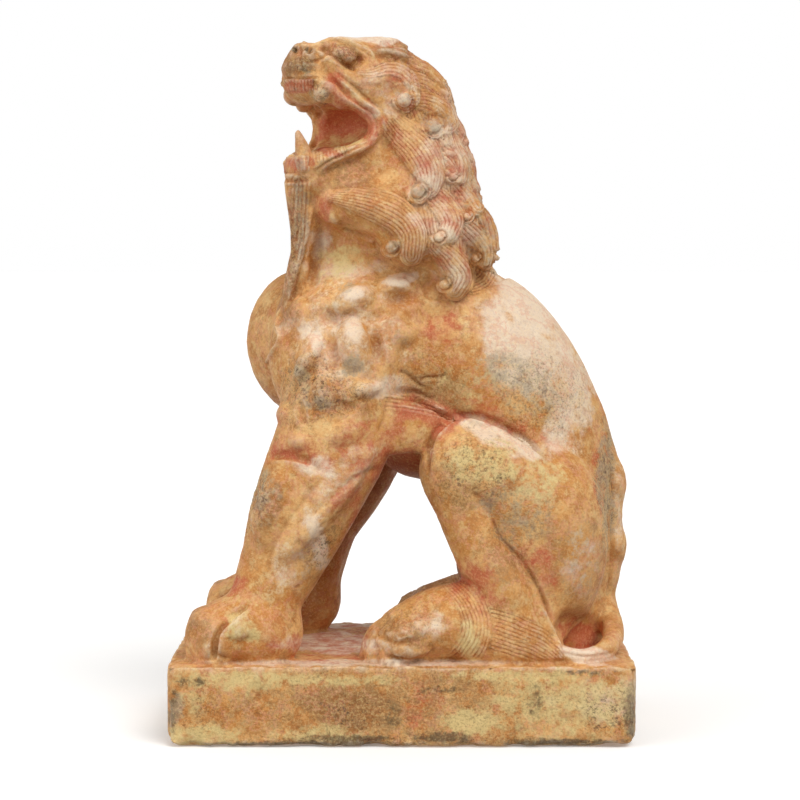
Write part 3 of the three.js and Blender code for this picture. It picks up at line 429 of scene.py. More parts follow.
def fold(view, height, line, width, rise):
    """A step along a line: its left side, walking along it, stands up and fades away from it."""
    path = curve(line)
    chosen, weight = view.pick(path, width * 5)
    distance, along, offset = from_line(view.at[chosen], path)
    ends = ramp(along, -0.02, 0.2) * ramp(1 - along, -0.02, 0.2)
    fade = np.exp(-(distance / (width * 2.5)) ** 2)
    height[chosen] += rise * weight * ends * fade * np.tanh(-offset / (width * 0.4))


def oval(view, place, half, slant, ragged=None):
    """How deep points lie inside an oval, which a slant in degrees turns anticlockwise."""
    place = np.array([place], float)
    chosen, weight = view.pick(place, max(half) * 1.25)
    rel = view.at[chosen] - place
    if ragged is not None:
        rel = rel + ragged[chosen] * min(half)
    c, s = math.cos(math.radians(slant)), math.sin(math.radians(slant))
    a = (rel[:, 0] * c - rel[:, 1] * s) / half[0]
    b = (rel[:, 0] * s + rel[:, 1] * c) / half[1]
    return chosen, weight * np.clip(1 - a * a - b * b, 0, 1)


def swell(view, height, place, half, slant, rise):
    """A low oval mound, or a hollow where the rise is negative."""
    chosen, inside = oval(view, place, half, slant)
    height[chosen] += rise * inside ** 1.3


def flanks(stone):
    """Both flanks, the near one first."""
    return [flank_view(stone, side) for side in (-1, 1)]


def lay_lock(view, lock, fields, scale=NEAR_SCALE):
    """Raise one lock of hair in the fields: height in mm, count of strands, and hair (0 to 1)."""
    line, (root, middle, tip), high, curl = lock
    height, strand, hair = fields
    path = curve(line)
    margin = max(root, middle, tip) + (curl[2] if curl else 0) + 4
    chosen, weight = view.pick(path, margin, HAIR_FACING)
    spot = view.at[chosen]
    distance, along, offset = from_line(spot, path)
    belly = np.sin(along * math.pi)
    wide = np.where(along < 0.5, root + (middle - root) * belly, tip + (middle - tip) * belly)
    inside = 1 - (distance / wide) ** 2
    body = np.clip(inside, 0, 1) ** 0.4 * high * (0.4 + 0.6 * along)
    across = offset * scale * (middle / wide) ** 0.6
    shown = ramp(inside, 0.0, 0.25)
    if curl:
        # Its end is rolled up: a round knob in a ring that opens towards the lock.
        rel = spot - np.array(curl[:2])
        wobble = mottle(np.column_stack([spot, 0 * along]), 9, 61, 2)
        r = np.linalg.norm(rel, axis=1) / curl[2] * (1 + 0.09 * wobble)
        turn = np.arctan2(-rel[:, 1], rel[:, 0]) / (2 * math.pi) % 1
        arm = CURL_START + CURL_OPENS * turn
        aside = 0.5 * np.sign(line[-1][0] - curl[0])
        away = (0.9 * rel[:, 1] + aside * rel[:, 0]) / curl[2]
        wrap = np.where(r < arm, 1, ramp(away, -0.75, -0.1))
        groove = 0.45 * np.exp(-((r - arm) / CURL_GROOVE) ** 2)
        roll = np.clip(1 - r ** 2, 0, 1) ** 0.36 * (1 + 0.1 * wobble) - groove
        in_curl = r < 1
        rolled = np.maximum(0.85 * high * roll * wrap, body * ramp(r, 0.6, 1.0))
        body = np.where(in_curl, rolled, body)
        across = np.where(in_curl, (r - arm + CURL_START) * curl[2] * scale, across)
        shown = np.where(in_curl, ramp(r, 0.36, 0.56) * wrap, shown)
    body = body * weight
    wins = body > height[chosen]
    picked = chosen[wins]
    height[picked] = body[wins]
    strand[picked] = across[wins] / STRAND
    hair[picked] = shown[wins]


def lay_teeth(view, fields):
    """Rows of teeth: blocks side by side, parted by grooves."""
    height, strand, hair = fields
    for line, half, pitch, high in TEETH:
        path = curve(line)
        chosen, weight = view.pick(path, half + 4, TEETH_FACING)
        _, along, offset = from_line(view.at[chosen], path)
        length = np.linalg.norm(np.diff(path, axis=0), axis=1).sum()
        inside = (offset > -1.5) & (offset < half) & (along > 0.001) & (along < 0.999)
        picked = chosen[inside]
        body = high * weight * (0.5 + 0.5 * np.clip((half - offset) / 3, 0, 1))
        height[picked] = np.maximum(height[picked], body[inside])
        strand[picked] = (along * length / pitch)[inside]
        hair[picked] = weight[inside]


def in_outline(places, outline):
    """Which places lie inside a closed outline."""
    inside = np.zeros(len(places), bool)
    x, y = places.T
    for (x0, y0), (x1, y1) in zip(outline, outline[1:] + outline[:1]):
        crosses = (y0 > y) != (y1 > y)
        inside ^= crosses & (x < (x1 - x0) * (y - y0) / (y1 - y0 + 1e-12) + x0)
    return inside


def mane_mask(stone):
    """1 over the mane, 0 on the face, throat and body."""
    x, _, z = stone.points.T
    mask = np.zeros(stone.count)
    for side in (-1, 1):
        view = flank_view(stone, side, 4.0)
        mask[in_outline(view.at, MANE_EDGE) & ~view.behind & (z > MANE_FOOT)] = 1
    mask[(x > 4) & (stone.out[:, 0] > 0.1) & (z > NAPE_FOOT)] = 1
    return stone.spread(mask, 0.9)


def nape_view(stone):
    """The back of the neck seen from behind: across and down in mm."""
    view = flank_view(stone, -1, ALL)
    view.at = np.stack([stone.points[:, 1], -stone.points[:, 2]], axis=1)
    view.facing = stone.out[:, 0] + 0.2 * stone.out[:, 2] - 0.35
    return view


def mane_relief(stone):
    """The locks of both sides, and plainer rows of them down the back of the neck."""
    fields = np.zeros((3, stone.count))
    for view in flanks(stone):
        for lock in MANE:
            lay_lock(view, lock, fields)
    nape = nape_view(stone)
    for number, (up, count) in enumerate(NAPE_ROWS):
        turn = 5 if number % 2 else -5
        for k in range(count):
            y = (k - (count - 1) / 2) * NAPE_STEP
            down = 7 * (k % 2) - up
            line = [(y, down), (y - turn * 0.3, down + 9), (y + turn * 0.3, down + NAPE_LENGTH)]
            curl = (y + turn, down + NAPE_LENGTH, 5)
            lay_lock(nape, (line, (6, 9, 7), 2.6, curl), fields, 1.0)
    return fields


def carve_hair(stone, mask, fields, sink):
    """Sink the ground of the hair and raise its locks, with a chisel line between strands."""
    height, strand, hair = fields
    strand = strand + 0.3 * mottle(stone.points, 9, 3, 2) + 0.08 * mottle(stone.points, 3, 4, 1)
    lines = np.clip(0.5 + 0.5 * np.cos(strand * 2 * math.pi), 0, 1) ** 1.3
    depth = np.clip(0.46 + 0.24 * mottle(stone.points, 6, 5, 2), 0.12, 1)
    stone.push(mask * (height - sink) - depth * mask * hair * lines)
    stone.strand = np.where(hair > stone.hair, strand, stone.strand)
    stone.hair = np.maximum(stone.hair, hair * mask)


def blend(stone, view, place, width):
    """Let the forms run together inside an oval of the picture."""
    weight = np.zeros(stone.count)
    chosen, inside = oval(view, *place)
    weight[chosen] = ramp(inside, 0, 0.4)
    stone.soften(weight, width)


def soften_facets(stone, head, above, mane):
    """Smooth away the solid's facets, more on the body and mane than on the face."""
    stone.soften(above * (1 - head), 2.6)
    stone.soften(mane, 4.5)
    stone.soften(head * (1 - mane), 0.9)
    nose_at = HEAD_AT + HEAD_AHEAD * 60 + np.array([0, 0, 20])
    nose = np.linalg.norm(stone.points - nose_at, axis=1)
    stone.soften(1 - ramp(nose, 6, 10), 2.5)
    blend(stone, face_view(stone), SOCKET, 3.6)


def raise_forms(stone, above):
    """The large forms of breast, limbs and face."""
    height = np.zeros(stone.count)
    for view in flanks(stone):
        for mound in BREAST + LIMBS:
            swell(view, height, *mound)
        for step in FOLDS:
            fold(view, height, *step)
    face = face_view(stone)
    for mound in FACE:
        swell(face, height, *mound)
    stone.push(height * above)


def carve_fringes(stone, above):
    """The hair at elbow and heel, the brows and beard, and the teeth."""
    fields = np.zeros((3, stone.count))
    for view in flanks(stone):
        for lock in FRINGES:
            lay_lock(view, lock, fields)
    face = face_view(stone)
    for lock in BROW + BEARD:
        lay_lock(face, lock, fields)
    lay_teeth(face, fields)
    carve_hair(stone, above, fields, 0.0)


def cut_lines(stone, above):
    """Chiselled lines, nostrils and claws."""
    height = np.zeros(stone.count)
    for view in flanks(stone):
        for line in BODY_LINES:
            cut(view, height, *line)
    face = face_view(stone)
    for line in FACE_LINES:
        cut(face, height, *line)
    front = flank_view(stone, -1, 60.0)
    for line in NOSE_LINES:
        cut(front, height, *line)
    for pit in NOSTRILS:
        swell(front, height, *pit)
    stone.push(height * above * (1 + 0.35 * mottle(stone.points, 7, 51, 2)))


def wear_down(stone):
    """Uneven, pitted skin; nothing is added to the plinth."""
    rough = np.full(stone.count, EVEN_WEAR)
    for view in flanks(stone):
        for *place, much in ROUGH:
            chosen, inside = oval(view, *place)
            rough[chosen] += much * np.sqrt(inside)
    low = 1 - ramp(stone.points[:, 2], *PLINTH_TOP)
    rough = rough * (1 - 0.5 * stone.hair) + 0.3 * low
    grain = mottle(stone.points, 7, 11) * 0.6 + mottle(stone.points, 2.6, 21, 2) * 0.5
    pits = ramp(cloud(stone.points, 3.2, 31), 0.72, 0.95)
    stone.push(np.minimum(rough * grain - 0.6 * rough * pits, 0.5 * (1 - low)))


def chip_plinth(stone):
    """Break the plinth's edges and rough out its faces."""
    x, y, z = stone.points.T
    low = 1 - ramp(z, *PLINTH_TOP)
    to_end = PLINTH_HALF[0] - np.abs(x)
    to_side = PLINTH_HALF[1] - np.abs(y)
    to_rim = np.minimum(np.abs(z), np.abs(PLINTH_RIM - z))
    gaps = np.sort(np.stack([to_end, to_side, to_rim]), axis=0)
    edge = np.exp(-(np.maximum(gaps[1], 0) / 3.2) ** 2)

    def chips(size, seed, span):
        return ramp(cloud(stone.points, size, seed), *span)

    broken = chips(9, 41, (0.45, 0.9)) + 0.6 * chips(3.5, 42, (0.5, 0.9))
    dents = chips(16, 43, (0.62, 0.95)) + 0.5 * chips(5, 44, (0.62, 0.95))
    corner = np.exp(-(np.maximum(to_end, 0) ** 2 + np.maximum(to_side, 0) ** 2) / 40)
    worn_foot = cloud(stone.points * np.array([1, 1, 0.2]), 13, 45)
    foot = ramp(8 - z, 0, 8) * ramp(worn_foot, 0.4, 0.8)
    stone.push(-low * (edge * 2.1 * broken + 1.0 * dents + 1.6 * foot + 1.4 * corner))


def sculpt(stone):
    """Give the block its chiselled and worn surface, from the large forms to the small ones."""
    stone.strand = np.zeros(stone.count)
    stone.hair = np.zeros(stone.count)
    up = stone.points[:, 2]
    head = ramp(up, *HEAD_STARTS)
    above = ramp(up, *ABOVE_PLINTH)
    mane = mane_mask(stone)
    soften_facets(stone, head, above, mane)
    raise_forms(stone, above)
    carve_hair(stone, mane, mane_relief(stone), 1.6)
    carve_fringes(stone, above)
    cut_lines(stone, above)
    wear_down(stone)
    chip_plinth(stone)
    for side in (-1, 1):
        blend(stone, flank_view(stone, side), ELBOW_TO_KNEE, 3.2)
    note_relief(stone)


def note_relief(stone):
    """Keep what is hollow and what stands proud, and the hair, for the material."""
    shape = np.zeros(stone.count)
    for width, much in ((0.9, 0.8), (3.0, 0.6)):
        smooth = stone.spread(stone.points, width)
        shape += much * np.einsum("ij,ij->i", stone.points - smooth, stone.out) / width
    # The hollow measure darkens the colour, partly as painted shade in recesses.
    keep(stone.mesh, "hollow", ramp(-shape, 0.02, 0.5))
    keep(stone.mesh, "crest", ramp(shape, 0.04, 0.5))
    keep(stone.mesh, "strand", stone.strand)
    keep(stone.mesh, "hair", stone.hair)


def build_block():
    """The block's fine mesh, made even from the solid's own form."""
    bm = bmesh.new()
    bm.from_mesh(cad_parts[NODE].data)
    bmesh.ops.remove_doubles(bm, verts=bm.verts, dist=2e-6)
    mesh = bpy.data.meshes.new("carved_block")
    bm.to_mesh(mesh)
    bm.free()
    block = bpy.data.objects.new("carved_lion", mesh)
    bpy.context.scene.collection.objects.link(block)
    remesh = block.modifiers.new("even faces", "REMESH")
    remesh.mode = "VOXEL"
    remesh.voxel_size = GRAIN * MM
    settle(block)
    return block


def settle(block):
    """Apply the modifiers to the mesh."""
    graph = bpy.context.evaluated_depsgraph_get()
    mesh = bpy.data.meshes.new_from_object(block.evaluated_get(graph),
                                           preserve_all_data_layers=True, depsgraph=graph)
    block.modifiers.clear()
    block.data = mesh


def keep(mesh, name, values):
    """Keep a value for each point as an attribute that the material reads."""
    values = values.astype(np.float32)
    mesh.attributes.new(name, "FLOAT", "POINT").data.foreach_set("value", values)


# Stone and light.

def linear(code):
    """A six-figure sRGB colour as linear red, green, blue, alpha."""
    parts = [int(code[i:i + 2], 16) / 255 for i in (0, 2, 4)]
    return (*[c / 12.92 if c <= 0.04045 else ((c + 0.055) / 1.055) ** 2.4 for c in parts], 1.0)


def add_node(tree, kind, settings=None, inputs=None):
    """A node with its settings; an input is a value, or the socket that feeds it."""
    node = tree.nodes.new(kind)
    for name, value in (settings or {}).items():
        setattr(node, name, value)
    for name, value in (inputs or {}).items():
        if isinstance(value, bpy.types.NodeSocket):
            tree.links.new(value, node.inputs[name])
        else:
            node.inputs[name].default_value = value
    return node


def worn_marble():
    """Marble carved by hand, once painted red, then buried: it is semi-matte, bleached on what
    stands proud, and stained ochre and red in the hollows, with a thin pale lime crust. Its colour
    also holds painted shade in the hollows, between the legs and on what faces down, and painted
    highlights and painted light in some pale patches."""
    material = bpy.data.materials.new("worn_marble")
    material.use_nodes = True
    tree = material.node_tree
    shader = tree.nodes["Principled BSDF"]
    place = add_node(tree, "ShaderNodeTexCoord").outputs["Object"]

    def value(name):
        return add_node(tree, "ShaderNodeAttribute", {"attribute_name": name}).outputs["Fac"]

    def noise(size, detail=4.0, rough=0.55, shift=0.0):
        """Noise whose largest blots are this wide in mm."""
        spot = add_node(tree, "ShaderNodeVectorMath", {"operation": "ADD"},
                        {0: place, 1: (shift, shift, shift)})
        return add_node(tree, "ShaderNodeTexNoise", None,
                        {"Vector": spot.outputs[0], "Scale": 1 / (size * MM), "Detail": detail,
                         "Roughness": rough}).outputs["Fac"]

    def sums(kind, a, b=0.0, c=0.0):
        return add_node(tree, "ShaderNodeMath", {"operation": kind}, {0: a, 1: b, 2: c}).outputs[0]

    def between(amount, low, high, to_low=0.0, to_high=1.0):
        return add_node(tree, "ShaderNodeMapRange", {"interpolation_type": "SMOOTHSTEP"},
                        {"Value": amount, "From Min": low, "From Max": high, "To Min": to_low,
                         "To Max": to_high}).outputs[0]

    def broken(name, blots, much):
        """A stain whose strength is broken up by blots."""
        total = sums("MULTIPLY_ADD", blots, 3.4, sums("SUBTRACT", value(name), 1.7))
        shown = sums("MULTIPLY", between(total, 0.1, 1.0), between(value(name), 0.0, 0.3))
        return sums("MULTIPLY", shown, much)

    def threads(blots, width):
        """Thin winding threads where a noise crosses its middle."""
        away = sums("ABSOLUTE", sums("SUBTRACT", blots, 0.5))
        return between(away, 0.0, width, 1.0, 0.0)

    rough = value("rough")
    broad, middle = noise(34, 5, 0.62), noise(11, 7, 0.72, 0.031)
    small, fine = noise(4.2, 6, 0.74, 0.057), noise(1.5, 4, 0.7, 0.083)
    patches, other = noise(18, 8, 0.74, 0.12), noise(7, 7, 0.76, 0.23)
    wave = sums("COSINE", sums("MULTIPLY", value("strand"), 2 * math.pi))
    worn_lines = sums("MULTIPLY", value("hair"), between(middle, 0.38, 0.58, 0.15, 1.0))
    line = sums("MULTIPLY", between(wave, 0.3, 1.0), worn_lines)
    crust_threads = sums("MULTIPLY", threads(other, 0.022), between(rough, 0.0, 0.8, 0.15, 0.6))
    specks = sums("MULTIPLY", between(fine, 0.5, 0.36), between(rough, 0.1, 0.9, 0.16, 0.62))
    pits = sums("MULTIPLY", between(small, 0.44, 0.38), between(rough, 0.35, 1.0, 0.0, 0.75))

    # The colours, each laid over the ones before it.
    colour = linear(MARBLE["ground"])
    for name, amount in (
            ("light", between(broad, 0.38, 0.62)),
            ("tan", between(middle, 0.46, 0.6, 0.0, 0.75)),
            ("rust", between(patches, 0.53, 0.62, 0.0, 0.5)),
            ("ochre", broken("ochre", patches, 0.8)),
            ("cream", between(other, 0.5, 0.6, 0.0, 0.5)),
            ("brown", between(noise(9, 8, 0.76, 0.31), 0.53, 0.62, 0.0, 0.4)),
            ("brown", broken("brown", other, 0.72)),
            ("brown", broken("brown", patches, 0.4)),
            # Pale: bleached stone, and in places painted highlights and painted light.
            ("pale", broken("pale", patches, 0.62)),
            ("pale", broken("pale", other, 0.5)),
            ("pink", sums("MULTIPLY", threads(noise(24, 6, 0.66, 0.4), 0.035), 0.4)),
            # Darker in the hollows: partly the red paint kept there, partly painted shade.
            ("hollow_pigment_and_shade", sums("MULTIPLY", value("hollow"), 0.55)),
            ("red", broken("red", middle, 0.8)),
            ("grey", broken("grey", other, 0.7)),
            ("crust", broken("crust", other, 0.85)),
            ("crust", crust_threads),
            ("soil_and_shade", broken("soil_and_shade", small, 0.85)),
            # Painted shade between the legs and on what faces down.
            ("painted_shade", sums("MULTIPLY", value("shade"), 0.75)),
            ("worn", sums("MULTIPLY", value("crest"), between(small, 0.35, 0.6, 0.05, 0.5))),
            ("line", sums("MULTIPLY", line, 0.44)),
            ("cream", between(fine, 0.5, 0.66, 0.0, 0.3)),
            ("speck", specks),
            ("pit", pits)):
        colour = add_node(tree, "ShaderNodeMix", {"data_type": "RGBA"},
                          {0: amount, 6: colour, 7: linear(MARBLE[name])}).outputs[2]
    tree.links.new(colour, shader.inputs["Base Color"])
    tree.links.new(between(middle, 0.3, 0.7, 0.48, 0.7), shader.inputs["Roughness"])
    shader.inputs["IOR"].default_value = 1.49
    coarse = between(rough, 0.0, 1.0, 0.8, 1.7)
    grain = sums("MULTIPLY_ADD", small, coarse, sums("MULTIPLY", fine, 0.5))
    relief = sums("SUBTRACT", grain, sums("MULTIPLY", line, 0.25))
    bump = add_node(tree, "ShaderNodeBump", None,
                    {"Height": relief, "Strength": 0.9, "Distance": MM})
    tree.links.new(bump.outputs[0], shader.inputs["Normal"])
    return material


# Colours of the stone and of what lies on it, some of them also used for painted shade and painted
# highlights.
MARBLE = {
    "ground": "d28e42", "light": "eab26e", "tan": "bb7534", "cream": "f1d292", "rust": "cc7234",
    "ochre": "c87c30", "pale": "fae6ce", "hollow_pigment_and_shade": "90501e", "red": "c85a38", "grey": "a8957a",
    "crust": "e6cb88", "painted_shade": "884216", "worn": "f6e4c8", "line": "a8532e", "speck": "7c5428",
    "pit": "503820", "soil_and_shade": "54401f", "brown": "9a622c", "pink": "e49a78",
}

# Stains, and painted highlights, light and shade, in places of the picture: place, half-sizes,
# slant in degrees, and strength.
STAINS = {
    "red": [
        ((420, 705), (26, 34), 0, 0.5), ((430, 416), (50, 26), -12, 1.3),
        ((400, 44), (22, 8), -10, 0.3), ((330, 152), (20, 6), -12, 1.5),
        # (344, 128) and (362, 124) in the mouth: its red paint, and painted bounce light that lifts
        # its dark inside.
        ((344, 128), (40, 26), 0, 1.0), ((300, 86), (17, 8), 0, 1.9), ((299, 164), (15, 9), 0, 1.6),
        ((340, 95), (30, 20), -40, 0.8), ((300, 85), (18, 9), 0, 1.1),
        ((300, 165), (22, 14), 0, 0.9), ((362, 124), (26, 30), 0, 0.8),
        ((348, 492), (50, 10), 42, 0.8), ((442, 330), (26, 24), 0, 0.7),
        ((480, 582), (32, 30), 0, 0.9), ((225, 588), (30, 14), 25, 0.8),
        ((278, 640), (22, 22), 0, 0.6), ((584, 632), (28, 20), 0, 1.1),
        ((275, 412), (20, 18), 0, 0.7), ((410, 90), (50, 60), 0, 0.3),
        ((455, 190), (56, 120), 0, 0.38), ((330, 640), (60, 34), 0, 0.6),
        ((370, 560), (30, 90), 0, 0.8), ((350, 50), (26, 14), -20, 0.4),
        ((253, 340), (14, 36), 0, 0.5), ((324, 210), (18, 34), 0, 0.6),
        ((395, 465), (40, 26), 20, 0.8), ((543, 570), (18, 50), 35, 0.6),
        ((410, 140), (40, 50), 0, 0.36), ((500, 420), (70, 12), -26, 0.6),
        ((300, 450), (40, 24), 0, 0.6), ((375, 440), (50, 24), 0, 0.5),
        ((600, 470), (12, 60), 0, 0.4), ((340, 460), (60, 20), 0, 0.4),
    ],
    "ochre": [
        ((400, 705), (330, 62), 0, 0.4), ((345, 250), (30, 16), 0, 0.5),
        ((302, 62), (24, 20), 0, 1.5), ((342, 205), (40, 22), -30, 0.9),
        ((372, 160), (36, 30), 0, 0.7), ((430, 362), (60, 44), 0, 0.9),
        ((420, 705), (28, 34), 0, 1.3), ((402, 656), (30, 12), 0, 1.2),
        ((352, 240), (36, 18), 0, 0.8), ((320, 395), (70, 44), 0, 0.7),
        ((260, 710), (110, 40), 0, 0.7), ((260, 520), (36, 70), -20, 0.6),
        ((290, 310), (24, 24), 0, 0.8), ((402, 300), (24, 13), 0, 1.0),
        ((340, 315), (22, 16), 0, 0.8), ((480, 640), (80, 36), 0, 0.6),
        ((510, 416), (70, 14), -25, 1.0), ((380, 90), (30, 12), -14, 0.5),
        ((262, 350), (16, 60), 0, 0.5), ((520, 640), (40, 34), 0, 0.6),
        ((300, 60), (26, 16), 0, 0.6), ((240, 635), (70, 44), 0, 0.8),
        ((440, 620), (70, 40), 0, 0.4),
    ],
    # Dark earth, and painted shade in the nostrils' pits at (308.5, 49.5) and (295, 49.5); along
    # the plinth's foot it makes the bottom edge darker.
    "soil_and_shade": [
        ((304, 68), (15, 12), 0, 0.55), ((298, 86), (13, 6), 0, 0.3),
        ((308.5, 49.5), (5, 4.4), 0, 1.3), ((295, 49.5), (4, 4), 0, 1.3),
        ((350, 739), (60, 6), 0, 1.0), ((300, 745), (140, 4), 0, 1.1),
        ((440, 738), (44, 8), 0, 1.0), ((392, 714), (12, 24), 0, 0.6),
        ((533, 702), (12, 22), 0, 0.7), ((630, 715), (9, 38), 0, 0.9),
        ((173, 712), (7, 28), 0, 0.8), ((560, 743), (80, 5), 0, 1.1), ((190, 682), (22, 6), 0, 0.8),
        ((440, 690), (30, 5), 0, 0.6), ((590, 672), (40, 4), 0, 0.7),
        ((340, 716), (30, 18), 0, 0.25),
    ],
    "brown": [
        ((400, 705), (330, 62), 0, 0.42), ((300, 60), (24, 22), 0, 1.7),
        ((350, 176), (44, 22), -20, 0.6), ((506, 560), (30, 40), 30, 0.6),
        ((296, 222), (15, 52), 0, 1.2), ((290, 276), (9, 44), -6, 1.4),
        # (403, 300) and (345, 317) are painted shade on the lower sides of mounds of the breast.
        ((403, 300), (18, 9), 8, 0.3), ((345, 317), (14, 12), 0, 0.9),
        ((289, 310), (16, 20), 0, 0.9), ((397, 338), (16, 14), 30, 0.7),
        ((270, 502), (17, 32), -20, 1.0), ((325, 398), (40, 30), 0, 0.7),
        ((430, 392), (50, 26), 10, 0.8), ((480, 480), (60, 40), 0, 0.5),
        ((342, 54), (28, 13), -28, 0.9), ((395, 50), (28, 12), 0, 1.2),
        ((345, 708), (60, 34), 0, 1.0), ((590, 560), (40, 60), 0, 0.4),
        ((395, 640), (36, 30), 0, 0.6), ((404, 100), (16, 14), 0, 0.5),
        ((435, 125), (20, 20), 0, 0.6), ((550, 560), (40, 60), 0, 0.4),
        ((320, 560), (30, 60), -20, 0.4), ((200, 630), (20, 34), 0, 0.6),
    ],
    # Pale: bleached stone in part; painted highlights on the skull, the back, the knee and the
    # breast's mounds, and painted light in shaded places.
    "pale": [
        # (448, 268) and (318, 540) are painted light where a lock and the near foreleg's edge lie
        # in shade.
        ((448, 268), (14, 14), 0, 0.6), ((580, 560), (24, 50), 0, 0.35),
        ((318, 540), (12, 46), 14, 0.8), ((562, 372), (22, 30), -30, 0.6),
        ((345, 325), (84, 84), 0, 0.36), ((290, 560), (30, 60), -20, 0.3),
        # (330, 645) and (372, 663) are painted light on the plinth's top, where the body shades it.
        ((330, 645), (70, 12), 0, 1.1), ((372, 663), (200, 5), 0, 1.0),
        ((345, 478), (60, 26), 40, 0.4), ((618, 500), (12, 90), 0, 0.35),
        ((545, 330), (80, 46), -46, 0.35), ((455, 150), (50, 90), -10, 0.55),
        ((440, 215), (44, 56), 0, 0.5), ((392, 84), (50, 30), 0, 0.35),
        ((372, 33), (60, 12), -6, 1.4), ((532, 298), (62, 38), -44, 1.3),
        ((558, 350), (26, 56), -30, 0.8), ((353, 330), (13, 20), 10, 1.0),
        ((353, 294), (18, 9), 24, 1.0), ((402, 279), (26, 9), 10, 1.1),
        ((498, 436), (66, 15), -24, 1.4), ((316, 344), (8, 20), 0, 1.1),
        ((356, 270), (44, 12), 10, 0.7), ((318, 246), (16, 22), 0, 0.7),
        ((588, 654), (34, 11), -8, 1.6), ((320, 470), (34, 14), -12, 0.9),
        ((520, 350), (80, 50), -50, 0.9), ((390, 100), (18, 26), 0, 0.4),
        ((430, 625), (26, 18), 10, 0.45), ((385, 386), (30, 14), 0, 0.8),
        ((600, 700), (70, 34), 0, 0.5), ((575, 400), (28, 80), -26, 0.8),
        ((470, 130), (30, 80), -10, 0.5), ((450, 270), (24, 24), 0, 0.5),
        ((305, 330), (10, 12), 0, 0.8), ((370, 112), (12, 14), 0, 0.5),
        ((402, 100), (10, 10), 0, 0.8), ((480, 240), (26, 30), 0, 0.4),
    ],
    "grey": [
        ((353, 364), (14, 14), 0, 0.9), ((302, 376), (10, 28), 15, 1.0),
        ((520, 386), (80, 36), -20, 0.6), ((606, 480), (12, 90), 0, 0.8),
        ((176, 710), (11, 20), 0, 1.1), ((632, 706), (14, 40), 0, 1.0),
        ((262, 490), (26, 30), -20, 0.6), ((420, 190), (12, 10), 0, 0.8),
        ((393, 247), (9, 10), 0, 1.0), ((404, 98), (8, 8), 0, 0.6), ((434, 130), (14, 14), 0, 0.6),
        ((320, 405), (30, 16), 0, 0.7), ((520, 500), (50, 60), 0, 0.5),
        ((349, 287), (14, 8), 24, 0.7), ((300, 200), (10, 80), 0, 0.5),
        ((480, 220), (40, 70), 0, 0.3), ((444, 282), (10, 10), 0, 0.7),
        ((320, 92), (14, 12), 0, 0.6),
    ],
    "crust": [
        ((400, 705), (330, 62), 0, 0.1), ((560, 705), (120, 50), 0, 0.5),
        ((346, 143), (26, 12), 14, 0.6), ((243, 626), (22, 28), 0, 0.8),
        ((480, 465), (50, 30), 0, 0.8), ((470, 722), (40, 17), 0, 1.2),
        ((560, 700), (100, 40), 0, 0.75), ((240, 680), (70, 12), 0, 0.9),
        ((200, 735), (60, 14), 0, 0.8), ((320, 735), (70, 12), 0, 0.7),
        ((470, 640), (20, 28), 0, 0.8), ((455, 385), (60, 34), 0, 0.3),
        ((540, 480), (46, 34), 0, 0.5), ((340, 270), (44, 14), 20, 0.6),
        ((300, 680), (140, 7), 0, 0.9), ((345, 260), (40, 18), 0, 0.8),
        ((530, 676), (110, 8), 0, 0.8), ((190, 690), (24, 30), 0, 0.5),
    ],
    "rough": [
        ((400, 705), (330, 62), 0, 0.6), ((250, 500), (30, 44), -20, 1.0),
        ((320, 390), (70, 50), 0, 0.9), ((470, 470), (60, 50), 0, 0.8),
        ((540, 400), (80, 60), 0, 0.7), ((350, 715), (60, 30), 0, 0.9),
        ((200, 710), (40, 40), 0, 0.7), ((600, 710), (50, 40), 0, 0.9),
        ((606, 480), (16, 90), 0, 0.9), ((325, 545), (16, 40), -36, 0.9),
        ((410, 620), (40, 26), 0, 0.6), ((300, 66), (20, 12), 0, 0.9),
        ((320, 92), (14, 14), 0, 0.9), ((342, 53), (24, 12), -28, 0.8),
        ((293, 240), (14, 60), 0, 0.8), ((430, 380), (60, 40), 0, 0.6),
        ((520, 520), (60, 70), 0, 0.5), ((400, 740), (240, 8), 0, 1.0),
    ],
}


def stain(stone):
    """Where bleached stone, rust, old paint, lichen and crust lie, and where painted highlights,
    painted light and painted shade go.
    """
    shown = [flank_view(stone, side, ALL) for side in (-1, 1)]
    for view in shown:
        view.least = STAIN_FACING
    ragged = np.stack([0.4 * mottle(stone.points, 9, seed)
                       + 0.25 * mottle(stone.points, 28, seed + 5, 2) for seed in (71, 81)], axis=1)
    x, y, z = stone.points.T
    for name, places in STAINS.items():
        amount = np.zeros(stone.count)
        for view, near in zip(shown, (y < OVERLAP, y > -OVERLAP)):
            for *place, much in places:
                chosen, inside = oval(view, *place, ragged)
                shown_here = much * (near[chosen] * ramp(inside, 0, 1))
                amount[chosen] = np.maximum(amount[chosen], shown_here)
        keep(stone.mesh, name, amount)

    # Painted shade: darker between the legs and on what faces down, but not on the plinth's top.
    up = stone.out[:, 2]
    above = ramp(z, 44, 54)
    between_legs = (ramp(38 - np.abs(y), 0, 14) * ramp(170 - z, 0, 20) * ramp(52 - x, 0, 20)
                    * (x > -112))
    faces_down = 0.6 * ramp(-up, 0.2, 0.8) * (z < 230)
    level = 0.95 * ramp(up, 0.5, 0.85)
    keep(stone.mesh, "shade", above * np.maximum(between_legs, faces_down) * (1 - level))


def place_camera():
    camera = bpy.data.objects.new("camera", bpy.data.cameras.new("camera"))
    camera.data.sensor_width = FILM
    camera.data.lens = FOCAL / PICTURE * FILM
    camera.location = Vector(EYE * MM)
    camera.rotation_euler = (math.pi / 2 - PITCH, 0, YAW)
    camera.data.clip_start = 0.05
    bpy.context.scene.collection.objects.link(camera)
    bpy.context.scene.camera = camera


# The suns: name, strength, breadth in degrees, and where they stand.
SUNS = [("key", 1.75, 34, (0.35, -0.55, 0.8)), ("fill", 1.3, 60, (-0.9, -0.45, 0.25))]
FLOOR_SIZE = 60  # m
FLOOR_DOWN = 0.0004  # m below the plinth


